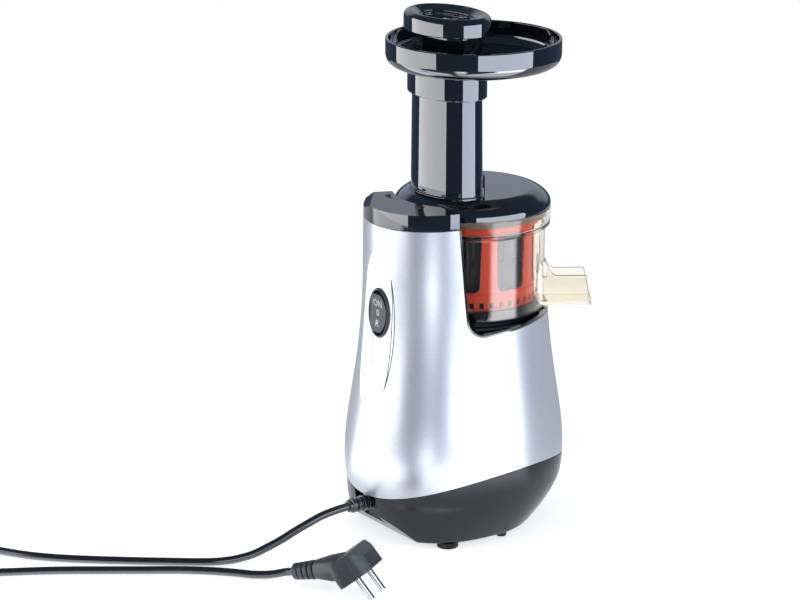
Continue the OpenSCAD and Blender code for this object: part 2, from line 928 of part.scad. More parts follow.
module cord_tie() {
    color("#d8d8d8")
    translate([coil_xy[0], coil_xy[1], 0])
    rotate(coil_heading + 90)
    translate([coil_mid, 0, 0])
    difference() {
        translate([-2 * cord_r - 1.2, -2, 0]) cube([4 * cord_r + 2.4, 4, 4 * cord_r + 1.2]);
        translate([-2 * cord_r - 0.1, -3, -1]) cube([4 * cord_r + 0.2, 6, 4 * cord_r + 1.02]);
    }
}

module in_plug() {
    translate(plug_pos) rotate([0, 0, plug_turn]) rotate([-plug_tilt, 0, 0]) children();
}

// Angled two-pin plug: a round-ended head with a tapered, ribbed neck
module plug() {
    color(rubber)
    in_plug()
    difference() {
        union() {
            intersection() {
                translate([0, 1, 0.02]) cylinder(r = 18.5, h = 19);
                translate([-18.5, -15.5, 0]) cube([37, 35, 19]);
            }
            translate(neck_start) rotate([-90 + neck_lean, 0, 0]) {
                cylinder(r1 = 10.5, r2 = 7, h = relief_z + 1);
                translate([0, 0, relief_z]) cylinder(r1 = 6.4, r2 = 5, h = neck_length - relief_z);
                for (i = [0 : 3])
                    translate([0, 0, relief_z + 3 + 4.4 * i])
                    cylinder(r = 7.2 - 0.3 * i, h = 2.8);
            }
        }
        for (x = [-9.5, 9.5]) translate([x, 0, -1]) cylinder(r = plug_pin_r, h = 8);
        translate([-30, -30, 19]) cube([60, 32, 20]);
    }
}

module plug_pins() {
    color(steel)
    in_plug()
    for (x = [-9.5, 9.5]) translate([x, 0, -pin_length]) cylinder(r = plug_pin_r, h = pin_length + 6.9);
}

// ---- bowl ---------------------------------------------------------------------------

glass = 2.5;
spout_z = bowl_z - 0.5;
spout_h = 23;
spout_top = spout_z + spout_h;
spout_reach = bowl_r + 31.5;
spout_foot = spout_reach + 4.7;
pulp_reach = bowl_r + 21.5;
pulp_w = 24;
pulp_h = 21;
pulp_top = spout_z + pulp_h;

// Runs along +X from the bowl axis, in the direction of an outlet
module outlet_frame(turn) {
    translate(front_pull) rotate([0, 0, -90 + turn]) children();
}

module spout_side(reach, foot, low, high) {
    polygon([[bowl_r - 4, low], [foot, low], [reach, high], [bowl_r - 4, high]]);
}

module bowl() {
    color(amber)
    difference() {
        union() {
            translate(front_pull) translate([0, 0, bowl_z]) cylinder(r = bowl_r, h = flange_z - bowl_z + 1);
            translate(front_pull) translate([0, 0, flange_z]) cylinder(r = lid_r, h = lid_z - flange_z - 0.2);
            outlet_frame(-spout_turn) rotate([90, 0, 0]) linear_extrude(spout_w, center = true)
            spout_side(spout_reach, spout_foot, spout_z, spout_top);
            outlet_frame(pulp_turn) rotate([90, 0, 0]) linear_extrude(pulp_w, center = true)
            spout_side(pulp_reach, pulp_reach + 3, spout_z, pulp_top);
        }
        translate(front_pull) {
            translate([0, 0, bowl_z - 1]) cylinder(r = bowl_r - glass, h = flange_z - bowl_z + 4);
            translate([0, 0, flange_z + glass]) cylinder(r = lid_r - glass, h = 40);
        }
        outlet_frame(-spout_turn) translate([bowl_r - 10, -spout_w / 2 + glass, spout_z + glass])
        cube([80, spout_w - 2 * glass, spout_h - glass - 0.5]);
        outlet_frame(-spout_turn) translate([bowl_r + 1.5, -spout_w / 2 + glass, spout_z + glass])
        cube([80, spout_w - 2 * glass, 40]);
        outlet_frame(pulp_turn) translate([bowl_r - 10, -pulp_w / 2 + glass, spout_z + glass])
        cube([80, pulp_w - 2 * glass, pulp_top - spout_z - 2 * glass]);
    }
}

plinth_r = bowl_r - 4.5;
plinth_z = well_z + well_floor + 0.4;
cup_floor_z = bowl_z - 4.5;
cup_r = bowl_r - glass - fit_gap;
cup_wall = 3;
cup_top = bowl_z + 7.5;
hub_r = 9;
idler_teeth = 20;
auger_teeth = 16;
ring_teeth = 56;
ring_pitch_r = bowl_r - 9.7;
wiper_tooth = 2 * ring_pitch_r / ring_teeth;
idler_reach = wiper_tooth * (idler_teeth + auger_teeth) / 2;
idler_turn = 150;
idler_pin_r = 3;

post_reach = bowl_r - 20.5;

// Dark floor of the bowl, with the idler's pin and the pulp hole
module bowl_floor() {
    color(gloss)
    difference() {
        translate(front_pull) difference() {
            union() {
                translate([0, 0, plinth_z]) cylinder(r = plinth_r, h = bowl_z - plinth_z);
                translate([0, 0, bowl_z]) cylinder(r = cup_r, h = cup_top - bowl_z);
                translate([0, 0, bowl_z - 1.5]) cylinder(r = plinth_r + 1.2, h = 1.5);
            }
            translate([0, 0, cup_floor_z]) cylinder(r = cup_r - cup_wall, h = 30);
            translate([0, 0, 150]) cylinder(r = hub_r, h = 30);
        }
        outlet_frame(-spout_turn)
        translate([cup_r - 12, -spout_w / 2 + glass, spout_z + glass])
        cube([30, spout_w - 2 * glass, 20]);
        outlet_frame(pulp_turn)
        translate([cup_r - 12, -pulp_w / 2 + glass, spout_z + glass])
        cube([30, pulp_w - 2 * glass, 20]);
    }
    color(gloss)
    translate(front_pull) {
        rotate(idler_turn) translate([idler_reach, 0, cup_floor_z - 1]) cylinder(r = idler_pin_r, h = 7.5);
        for (turn = [30, 90, 210, 270])
            rotate(turn)
            translate([post_reach, 0, cup_floor_z - 1])
            cylinder(r = 3, h = strainer_z - cup_floor_z + 1 - fit_gap);
    }
}

// Silicone lip round the hub
module pulp_seal() {
    color("#d9d9d4")
    translate(front_pull)
    translate([0, 0, plinth_z + 0.5])
    difference() {
        cylinder(r = hub_r - 0.02, h = 5);
        translate([0, 0, -1]) cylinder(r = 7.4, h = 20);
    }
}

gear_z = cup_floor_z + 1;
gear_h = 5.5;

module wiper_idler() {
    color("#d8d2c0")
    translate(front_pull) rotate(idler_turn) translate([idler_reach, 0, gear_z]) difference() {
        gear(idler_teeth, wiper_tooth, gear_h);
        translate([0, 0, -1]) cylinder(r = idler_pin_r + 0.06, h = 20);
    }
}

strainer_r = bowl_r - 10.9;
strainer_t = 1.6;
strainer_z = cup_floor_z + 8;
strainer_top = lid_z - 2.8;
strainer_flare = 3;
window_rows = 2;
window_w = 16;
window_h = 25;
window_step = 29;
windows = 12;

// Rigid strainer frame with windows for the mesh
module strainer() {
    color("#3a3d42")
    translate(front_pull)
    difference() {
        union() {
            translate([0, 0, strainer_z])
            cylinder(r1 = strainer_r - strainer_flare, r2 = strainer_r, h = strainer_top - strainer_z - 2);
            translate([0, 0, strainer_top - 4]) cylinder(r = strainer_r + 3, h = 4);
        }
        translate([0, 0, strainer_z + 2])
        cylinder(
            r1 = strainer_r - strainer_flare - strainer_t, r2 = strainer_r - strainer_t,
            h = strainer_top - strainer_z - 2 + eps);
        translate([0, 0, 160]) cylinder(r = 16, h = 30);
        for (row = [0 : window_rows - 1]) for (i = [0 : windows - 1])
            rotate((i + 0.5) * 360 / windows)
            translate([strainer_r - 13.6, -window_w / 2, strainer_z + 8 + row * window_step])
            cube([20, window_w, window_h]);
    }
}

mesh_t = 0.4;
mesh_h = 60;

// Perforated sheet inside the frame
module strainer_mesh() {
    foot = strainer_r - strainer_flare - strainer_t - 0.1;
    head = strainer_r - strainer_t - 0.5;
    color("#9a9ea3")
    translate(front_pull)
    translate([0, 0, strainer_z + 4])
    difference() {
        cylinder(r1 = foot, r2 = head, h = mesh_h);
        translate([0, 0, -eps]) cylinder(r1 = foot - mesh_t, r2 = head - mesh_t, h = mesh_h + 2 * eps);
    }
}

wiper_out = bowl_r - 3.9;
wiper_t = 3;
wiper_in = wiper_out - wiper_t - 1;
wiper_low = cup_top + 0.5;
wiper_ring_z = wiper_low + 10.5;
wiper_top = flange_z + 9;
wiper_window_low = wiper_ring_z + 2;
wiper_window_top = wiper_top - 6.5;
window_foot_w = 37;
window_head_w = 40.6;
window_round = 5;
struts = 6;
notches = 24;
skirt_r = wiper_out - 2;

// Outline of a window between two struts, wider at the top, with round corners
module wiper_window() {
    offset(r = window_round, $fn = 24)
    offset(delta = -window_round)
    polygon([
        [-window_foot_w / 2, wiper_window_low], [window_foot_w / 2, wiper_window_low],
        [window_head_w / 2, wiper_window_top], [-window_head_w / 2, wiper_window_top]]);
}

// Ring cage: an internal gear skirt, a notched lower ring, and tapered windows between struts
module wiper() {
    ring_r = ring_pitch_r + tooth_clear;
    color(orange_red)
    translate(front_pull)
    difference() {
        union() {
            translate([0, 0, gear_z]) difference() {
                cylinder(r = skirt_r, h = wiper_low - gear_z + 1);
                translate([0, 0, -1]) cylinder(r = ring_r + wiper_tooth, h = 30);
            }
            for (i = [0 : ring_teeth - 1])
                rotate(i * 360 / ring_teeth)
                translate([ring_r, -0.6, gear_z])
                cube([skirt_r - ring_r - 1, 1.2, gear_h]);
            translate([0, 0, wiper_low]) difference() {
                cylinder(r = wiper_out, h = wiper_top - wiper_low);
                translate([0, 0, -1]) cylinder(r = wiper_in, h = wiper_ring_z - wiper_low + 1);
                translate([0, 0, -1]) cylinder(r = wiper_out - wiper_t, h = 90);
            }
        }
        for (i = [0 : notches - 1])
            rotate((i + 0.5) * 360 / notches)
            translate([40, -2.2, wiper_low - 1])
            cube([20, 4.4, 5]);
        for (i = [0 : struts - 1])
            rotate((i + 0.5) * 360 / struts)
            rotate([90, 0, 90])
            translate([0, 0, 30])
            linear_extrude(30)
            wiper_window();
    }
}

module wiper_blades() {
    color("#e9e4dc")
    translate(front_pull)
    for (i = [0 : 2 : struts - 1])
        rotate(i * 360 / struts)
        translate([wiper_in - 2, -0.8, wiper_window_low + 1])
        cube([wiper_out - wiper_t - wiper_in + 2 - fit_gap, 1.6, wiper_window_top - wiper_window_low - 3.5]);
}

// ---- auger ------------------------------------------------------------------------------

flight_turns = 1.25;
auger_low = strainer_z + 3.5;
auger_high = flange_z + 6;
auger_pin_r = 4;
bush_r = 7;
socket_d = hex_d + 0.6;
blade_r = strainer_r - 5.3;
core_foot = blade_r - 8.3;
core_top = 13;
blade_flare = 2;
blade_root = 0.8;

// Radius of the auger's tapered core at height z
function core_r(z) = core_foot - (core_foot - core_top) * (z - auger_low - 3) / (auger_high - auger_low - 3);

// One helical blade, rooted in the tapered core and wider upward with the strainer
module flight(start, turns, low, high) {
    steps = 36;
    points = [for (i = [0 : steps]) let (
        t = i / steps, a = start + 360 * turns * t, z = low + (high - low) * t, d = [cos(a), sin(a)],
        tip = blade_r + blade_flare * t)
        each [for (q = [
            [core_r(z - 3) - blade_root, -3], [tip, -1], [tip, 1], [core_r(z + 3) - blade_root, 3]])
            [q[0] * d[0], q[0] * d[1], z + q[1]]]];
    faces = concat(
        [[0, 1, 2, 3]],
        [for (i = [0 : steps - 1]) for (k = [0 : 3]) let (m = (k + 1) % 4) each [
            [i * 4 + k, (i + 1) * 4 + k, (i + 1) * 4 + m],
            [i * 4 + k, (i + 1) * 4 + m, i * 4 + m]]],
        [[for (k = [3 : -1 : 0]) steps * 4 + k]]);
    polyhedron(points, faces, convexity = 6);
}

module auger() {
    color(gloss)
    translate(front_pull)
    difference() {
        union() {
            translate([0, 0, gear_z]) gear(auger_teeth, wiper_tooth, gear_h);
            translate([0, 0, gear_z + gear_h - eps]) cylinder(r = 10.4, h = 6);
            translate([0, 0, auger_low]) cylinder(r = blade_r - 0.3, h = 3);
            translate([0, 0, auger_low + 3 - eps])
            cylinder(r1 = core_foot, r2 = core_top, h = auger_high - auger_low - 3);
            cylinder_pin();
        }
        translate([0, 0, gear_z - 1]) cylinder(d = socket_d, h = hex_top - gear_z + 3, $fn = 6);
    }
}

// The three blades, rooted in the auger's body
module auger_blades() {
    color(gloss)
    translate(front_pull)
    for (start = [0, 120, 240]) flight(start, flight_turns, auger_low + 4.5, auger_high - 4);
}

module cylinder_pin() {
    translate([0, 0, auger_high - 1]) cylinder(r = auger_pin_r, h = lid_z + 7 - auger_high);
}

module auger_bush() {
    color("#c9a24a")
    translate(front_pull)
    translate([0, 0, lid_z - 2])
    difference() {
        cylinder(r = bush_r - fit_gap, h = 9.5);
        translate([0, 0, -1]) cylinder(r = auger_pin_r + run_gap, h = 9.5);
    }
}

// ---- lid ------------------------------------------------------------------------------------

lid_flat_r = lid_r - 15.7;
lid_top = 259.2;
lid_t = 2.4;
chute_t = 2.5;
chute_bore = chute_r - chute_t;
chute_draft = 1;
hub_out_r = 10;
rib_turn = 36;
rib_t = 2.4;
rib_reach = 4.4;
rib_h = 18;

// Side of the lid from rim to flat top, a quarter-like curve
function dome_point(t, inset) = [
    lid_r - inset - (lid_r - lid_flat_r) * (1 - cos(90 * t)) * (1 - 0.35 * t) / 0.65,
    lid_z + 1.8 + (lid_top - inset - lid_z - 1.8) * sin(90 * t)];

module dome(inset, low) {
    rotate_extrude()
    polygon(concat(
        [[0, low], [lid_r - inset, low]],
        [for (i = [0 : 8]) dome_point(i / 8, inset)],
        [[0, lid_top - inset]]));
}

module lid() {
    color(gloss)
    difference() {
        union() {
            difference() {
                union() {
                    translate(front_pull) difference() {
                        dome(0, lid_z);
                        dome(lid_t, lid_z - 1);
                    }
                    translate(chute_pos)
                    translate([0, 0, lid_z + 4])
                    widened(chute_r)
                    cylinder(r1 = chute_r + chute_draft, r2 = chute_r, h = chute_z - lid_z - 4);
                    for (side = [-1, 1])
                        translate(chute_pos + feed_point(chute_r - 1, -90 + side * rib_turn))
                        rotate(-90 + side * rib_turn)
                        translate([0, -rib_t / 2, lid_top - 2])
                        cube([rib_reach, rib_t, rib_h]);
                }
                translate(chute_pos) translate([0, 0, 200]) feed_oval(chute_bore, 200);
            }
            translate(front_pull)
            translate([0, 0, lid_z - 2])
            cylinder(r = hub_out_r, h = lid_top - lid_z + 1);
        }
        translate(front_pull) translate([0, 0, lid_z - 3]) cylinder(r = bush_r, h = 10.6);
    }
}

module lid_gasket() {
    color("#d9d9d4")
    translate(front_pull)
    translate([0, 0, lid_z - 5])
    difference() {
        cylinder(r = lid_r - glass - 0.3, h = 4.7);
        translate([0, 0, -1]) cylinder(r = lid_r - glass - 3, h = 10);
    }
}

// ---- tray and pusher ---------------------------------------------------------------------------

tray_floor = tray_z - 20.5;
tray_t = 2.4;
ring_r = chute_r + 3.8;
ring_z = 333;
ring_play = 0.35;
round_r = 13;

// Dish outline with a rounded lower edge
module dish(inset, low) {
    r = tray_r - inset;
    bend = round_r - inset;
    top = tray_z + (inset > 0 ? 1 : 0);
    rotate_extrude()
    polygon(concat(
        [[0, low]],
        [for (a = [0 : 11.25 : 90]) [r - bend + bend * sin(a), low + bend - bend * cos(a)]],
        [[r, top], [0, top]]));
}

module tray() {
    color(gloss)
    difference() {
        union() {
            translate(front_pull) difference() {
                dish(0, tray_floor);
                dish(tray_t, tray_floor + tray_t);
            }
            translate(chute_pos)
            translate([0, 0, ring_z])
            feed_oval(ring_r, tray_floor - ring_z + 1);
        }
        translate(chute_pos) {
            translate([0, 0, ring_z - 1]) feed_oval(chute_r + ring_play, chute_z - ring_z + 1.4);
            translate([0, 0, 300]) feed_oval(chute_bore, 100);
        }
    }
}

cap_h = 16;
stem_r = chute_bore - 0.8;
stem_low = 264;
stem_wall = 2.4;
shoulder_r = chute_bore + 3.3;
shoulder_z = tray_floor + tray_t + 0.3;
cap_low = cap_z - cap_h;

module pusher() {
    color(gloss)
    translate(chute_pos)
    difference() {
        union() {
            translate([0, 0, stem_low]) feed_oval(stem_r, cap_low - stem_low);
            translate([0, 0, shoulder_z]) feed_oval(shoulder_r, cap_low - shoulder_z);
        }
        translate([0, 0, stem_low + stem_wall]) feed_oval(stem_r - stem_wall, 200);
    }
}

cap_round = 5;
grip_r = cap_r - 11.6;
grip_floor = 6;
grip_bar_w = 6;
grip_bar_h = 13;

// Oval cap with an oval finger recess and a bar across it
module pusher_cap() {
    color(gloss)
    translate(chute_pos)
    translate([0, 0, cap_low + fit_gap])
    difference() {
        union() {
            widened(cap_r)
            rotate_extrude()
            polygon(concat(
                [[0, 0], [cap_r - 0.8, 0], [cap_r, 0.8]],
                [for (a = [0 : 15 : 90])
                    [cap_r - cap_round, cap_h - cap_round] + cap_round * [cos(a), sin(a)]],
                [[0, cap_h]]));
            translate([0, 0, -5]) feed_oval(stem_r - stem_wall - run_gap, 6);
        }
        difference() {
            translate([0, 0, grip_floor]) feed_oval(grip_r, 20);
            translate([-grip_bar_w / 2, -20, 0]) cube([grip_bar_w, 40, grip_bar_h]);
        }
    }
}

housing();
switch_panel();
base();
rear_cover();
cover_marks();
bowl_seat();
seat_seal();
feet();
base_screws();
motor_can();
motor_bracket();
stator();
rotor();
motor_fan();
motor_pinion();
gearbox_cup();
gearbox_lid();
gear_one();
gear_two();
gear_pins();
output_gear();
drive_shaft();
shaft_bearing();
shaft_seal();
circuit_board();
capacitor();
safety_switch();
switch_bezel();
rocker();
cord_clamp();
cord_boot();
cord_lead();
cord_coil();
cord_tail();
cord_tie();
plug();
plug_pins();
bowl();
bowl_floor();
pulp_seal();
strainer();
strainer_mesh();
wiper_idler();
wiper();
wiper_blades();
auger();
auger_blades();
auger_bush();
lid_gasket();
lid();
tray();
pusher();
pusher_cap();
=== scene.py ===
"""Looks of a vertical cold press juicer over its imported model.

Sizes are millimetres in the model's own frame: +Z up, the front is -Y, the switch and the cord are at +Y.
Each class is one sub-assembly: its fields are its sizes, and its methods build its pieces and dress them.
"""

import json
import logging
import math
from dataclasses import dataclass, field
from enum import Enum
from typing import Any, Iterable, Optional, Sequence, Union

import bmesh
import bpy
from mathutils import Matrix, Vector

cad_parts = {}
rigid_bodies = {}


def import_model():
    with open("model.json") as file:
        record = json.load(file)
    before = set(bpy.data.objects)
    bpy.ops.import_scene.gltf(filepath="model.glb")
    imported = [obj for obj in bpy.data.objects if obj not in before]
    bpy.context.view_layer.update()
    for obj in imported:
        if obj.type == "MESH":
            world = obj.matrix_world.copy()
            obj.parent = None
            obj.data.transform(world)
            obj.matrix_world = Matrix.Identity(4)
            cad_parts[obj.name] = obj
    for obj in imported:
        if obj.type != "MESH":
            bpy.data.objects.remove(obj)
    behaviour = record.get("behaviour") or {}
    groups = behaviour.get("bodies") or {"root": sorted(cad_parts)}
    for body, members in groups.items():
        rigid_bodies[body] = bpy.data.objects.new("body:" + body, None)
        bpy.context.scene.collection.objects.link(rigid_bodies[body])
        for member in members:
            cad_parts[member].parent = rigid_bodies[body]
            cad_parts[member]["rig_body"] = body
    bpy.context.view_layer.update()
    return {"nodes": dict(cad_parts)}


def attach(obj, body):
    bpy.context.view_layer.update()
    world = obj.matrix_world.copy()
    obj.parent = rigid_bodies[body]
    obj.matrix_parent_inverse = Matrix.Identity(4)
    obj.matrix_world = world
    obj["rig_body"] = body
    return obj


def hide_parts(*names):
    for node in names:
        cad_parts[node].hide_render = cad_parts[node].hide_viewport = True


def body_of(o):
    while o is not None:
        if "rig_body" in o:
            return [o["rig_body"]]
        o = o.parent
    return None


LOG = logging.getLogger("juicer")
MM = 0.001
Pair = tuple[float, float]
Point = tuple[float, float, float]
Outline = Sequence[Sequence[float]]
Thing = bpy.types.Object
Tree = bpy.types.NodeTree
Node = bpy.types.Node
Socket = bpy.types.NodeSocket
Value = Union[Socket, float, Sequence[float]]

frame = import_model()


# ---- finishes ----


def linear(code: str) -> tuple[float, ...]:
    """Turn an sRGB hex colour into linear RGBA.

    Args:
        code: six hex digits, with or without a leading #.

    Returns:
        Red, green, blue and an alpha of one.
    """
    code = code.lstrip("#")
    parts = [int(code[i : i + 2], 16) / 255 for i in (0, 2, 4)]
    return (*(c / 12.92 if c <= 0.04045 else ((c + 0.055) / 1.055) ** 2.4 for c in parts), 1.0)


def add(tree: Tree, kind: str, links: Optional[dict[Any, Value]] = None, **settings: Any) -> Node:
    """Add one node with its settings and its inputs.

    Args:
        tree: the tree that the node goes into.
        kind: the node's type name.
        links: input name or index, to a socket to link or a value to set.
        settings: the node's own properties.

    Returns:
        The new node.
    """
    node = tree.nodes.new(kind)
    for name, value in settings.items():
        setattr(node, name, value)
    for name, value in (links or {}).items():
        if isinstance(value, bpy.types.NodeSocket):
            tree.links.new(value, node.inputs[name])
        else:
            node.inputs[name].default_value = value
    return node


@dataclass(frozen=True)
class Finish:
    """A surface: the record's slot that it belongs to (not used), what it is made of and how it was finished.
    """

    slot: str
    name: str
    colour: str
    roughness: float
    metallic: float = 0.0
    ior: float = 1.5
    coat: float = 0.0
    coat_roughness: float = 0.03
    coat_ior: float = 1.5
    specular: float = 0.5
    clear: float = 0.0
    spread: float = 0.0
    spread_depth: float = 2.0
    grain: float = 0.0
    grain_depth: float = 0.0
    mottle: float = 0.0
    mottle_size: float = 20.0

    def start(self) -> tuple[bpy.types.Material, Tree, Node, Socket]:
        """Make the material with its plain shader.

        Returns:
            The material, its tree, its shader and the object coordinates in metres.
        """
        material = bpy.data.materials.new(self.name)
        material.use_nodes = True
        tree = material.node_tree
        tree.nodes.clear()
        inputs = {
            "Base Color": linear(self.colour),
            "Roughness": self.roughness,
            "Metallic": self.metallic,
            "IOR": self.ior,
            "Specular IOR Level": self.specular,
            "Coat Weight": self.coat,
            "Coat Roughness": self.coat_roughness,
            "Coat IOR": self.coat_ior,
            "Transmission Weight": self.clear,
            "Subsurface Weight": self.spread,
            "Subsurface Scale": self.spread_depth * MM,
        }
        shader = add(tree, "ShaderNodeBsdfPrincipled", inputs)
        add(tree, "ShaderNodeOutputMaterial", {"Surface": shader.outputs[0]})
        place = add(tree, "ShaderNodeTexCoord").outputs["Object"]
        return material, tree, shader, place

    def texture(self, tree: Tree, shader: Node, place: Socket) -> None:
        """Link the fine grain to the normal and the slow mottle to the roughness.

        Args:
            tree: the material's tree.
            shader: its shader.
            place: the object coordinates in metres.
        """
        if self.grain_depth:
            size = {"Vector": place, "Scale": 1 / (self.grain * MM), "Detail": 3.0}
            fine = add(tree, "ShaderNodeTexNoise", size)
            depth = {"Height": fine.outputs["Fac"], "Strength": 1.0, "Distance": self.grain_depth * MM}
            bump = add(tree, "ShaderNodeBump", depth)
            tree.links.new(bump.outputs[0], shader.inputs["Normal"])
        if self.mottle:
            size = {"Vector": place, "Scale": 1 / (self.mottle_size * MM), "Detail": 4.0}
            slow = add(tree, "ShaderNodeTexNoise", size)
            low, high = self.roughness * (1 - self.mottle), self.roughness * (1 + self.mottle)
            ends = {0: slow.outputs["Fac"], 1: 0.3, 2: 0.7, 3: low, 4: high}
            spread = add(tree, "ShaderNodeMapRange", ends)
            tree.links.new(spread.outputs[0], shader.inputs["Roughness"])

    def material(self) -> bpy.types.Material:
        """Make the material.

        Returns:
            The new material.
        """
        material, tree, shader, place = self.start()
        self.texture(tree, shader, place)
        return material


@dataclass(frozen=True)
class FlakeLacquer(Finish):
    """Aluminium-flake lacquer sprayed on ABS: a soft metal base under a thin clear coat.

    The flakes are drawn ten times as coarse as the real 0.04 mm, so that they show.
    """

    flake: float = 0.45
    flake_colour: str = "#d4d7dd"
    tilt: float = 0.1
    tilt_depth: float = 0.02

    def material(self) -> bpy.types.Material:
        """Make the lacquer, whose flakes tilt the base and vary its brightness.

        Returns:
            The new material.
        """
        material, tree, shader, place = self.start()
        cells = add(tree, "ShaderNodeTexVoronoi", {"Vector": place, "Scale": 1 / (self.flake * MM)})
        grey = add(tree, "ShaderNodeSeparateColor", {"Color": cells.outputs["Color"]})
        colours = {0: grey.outputs[0], 6: linear(self.flake_colour), 7: linear(self.colour)}
        mix = add(tree, "ShaderNodeMix", colours, data_type="RGBA")
        tree.links.new(mix.outputs[2], shader.inputs["Base Color"])
        depth = {"Height": grey.outputs[1], "Strength": self.tilt, "Distance": self.tilt_depth * MM}
        bump = add(tree, "ShaderNodeBump", depth)
        tree.links.new(bump.outputs[0], shader.inputs["Normal"])
        return material


@dataclass(frozen=True)
class BrushedMetal(Finish):
    """Turned or rolled metal, with fine scratches across one axis."""

    stretch: Point = (1.0, 1.0, 14.0)
    scratch: float = 6.25
    scratch_depth: float = 0.02

    def material(self) -> bpy.types.Material:
        """Make the metal, scratched along its turning direction.

        Returns:
            The new material.
        """
        material, tree, shader, place = self.start()
        long = add(tree, "ShaderNodeMapping", {"Vector": place, "Scale": self.stretch})
        size = {"Vector": long.outputs[0], "Scale": 1 / (self.scratch * MM), "Detail": 5.0}
        lines = add(tree, "ShaderNodeTexNoise", size)
        low, high = self.roughness * 0.7, self.roughness * 1.35
        spread = add(tree, "ShaderNodeMapRange", {0: lines.outputs["Fac"], 1: 0.3, 2: 0.7, 3: low, 4: high})
        tree.links.new(spread.outputs[0], shader.inputs["Roughness"])
        depth = {"Height": lines.outputs["Fac"], "Strength": 0.5, "Distance": self.scratch_depth * MM}
        bump = add(tree, "ShaderNodeBump", depth)
        tree.links.new(bump.outputs[0], shader.inputs["Normal"])
        return material


@dataclass(frozen=True)
class Perforated(Finish):
    """Photo-etched steel sheet: rows of small holes, drawn coarser than the real 0.3 mm so that they show;
    each hole is a dark spot of painted shade.
    """

    pitch: float = 1.1
    # Painted shade: the dark colour that stands for what is seen through each hole.
    hole_shade_colour: str = "#17181a"

    def material(self) -> bpy.types.Material:
        """Make the sheet, dark in its holes with painted shade.

        Returns:
            The new material.
        """
        material, tree, shader, place = self.start()
        size = {"Vector": place, "Scale": 1 / (self.pitch * MM), "Randomness": 0.15}
        cells = add(tree, "ShaderNodeTexVoronoi", size)
        edge = {0: cells.outputs["Distance"], 1: 0.3, 2: 0.38, 3: 0.0, 4: 1.0}
        hole = add(tree, "ShaderNodeMapRange", edge)
        # The holes take the painted shade colour.
        colours = {0: hole.outputs[0], 6: linear(self.hole_shade_colour), 7: linear(self.colour)}
        mix = add(tree, "ShaderNodeMix", colours, data_type="RGBA")
        tree.links.new(mix.outputs[2], shader.inputs["Base Color"])
        depth = {"Height": hole.outputs[0], "Strength": 0.6, "Distance": 0.1 * MM}
        bump = add(tree, "ShaderNodeBump", depth)
        tree.links.new(bump.outputs[0], shader.inputs["Normal"])
        return material


@dataclass(frozen=True)
class Wound(Finish):
    """Varnished copper wire, wound side by side up the core, with painted shade in the grooves between wires.
    """

    wire: float = 0.9
    # Painted shade: the colour laid in the grooves between wires.
    groove_shade_colour: str = "#5a2110"

    def material(self) -> bpy.types.Material:
        """Make the winding, with a groove between wires that is darkened by painted shade.

        Returns:
            The new material.
        """
        material, tree, shader, place = self.start()
        size = {"Vector": place, "Scale": 0.314 / (self.wire * MM) / 2, "Distortion": 0.4}
        rows = add(tree, "ShaderNodeTexWave", size, bands_direction="Z", wave_profile="SIN")
        colours = {0: rows.outputs["Fac"], 6: linear(self.groove_shade_colour), 7: linear(self.colour)}
        mix = add(tree, "ShaderNodeMix", colours, data_type="RGBA")
        tree.links.new(mix.outputs[2], shader.inputs["Base Color"])
        depth = {"Height": rows.outputs["Fac"], "Strength": 0.8, "Distance": 0.2 * MM}
        bump = add(tree, "ShaderNodeBump", depth)
        tree.links.new(bump.outputs[0], shader.inputs["Normal"])
        return material


@dataclass(frozen=True)
class Laminate(Finish):
    """Glass-fibre circuit board: green solder mask over straight copper tracks."""

    track: float = 2.2
    track_colour: str = "#2a7446"
    gap_colour: str = "#123d22"

    def material(self) -> bpy.types.Material:
        """Make the board, with lighter tracks under the mask.

        Returns:
            The new material.
        """
        material, tree, shader, place = self.start()
        pattern = {
            "Vector": place,
            "Color1": linear(self.colour),
            "Color2": linear(self.track_colour),
            "Mortar": linear(self.gap_colour),
            "Scale": 1 / (self.track * 8 * MM),
            "Mortar Size": 0.03,
        }
        blocks = add(tree, "ShaderNodeTexBrick", pattern)
        tree.links.new(blocks.outputs["Color"], shader.inputs["Base Color"])
        return material


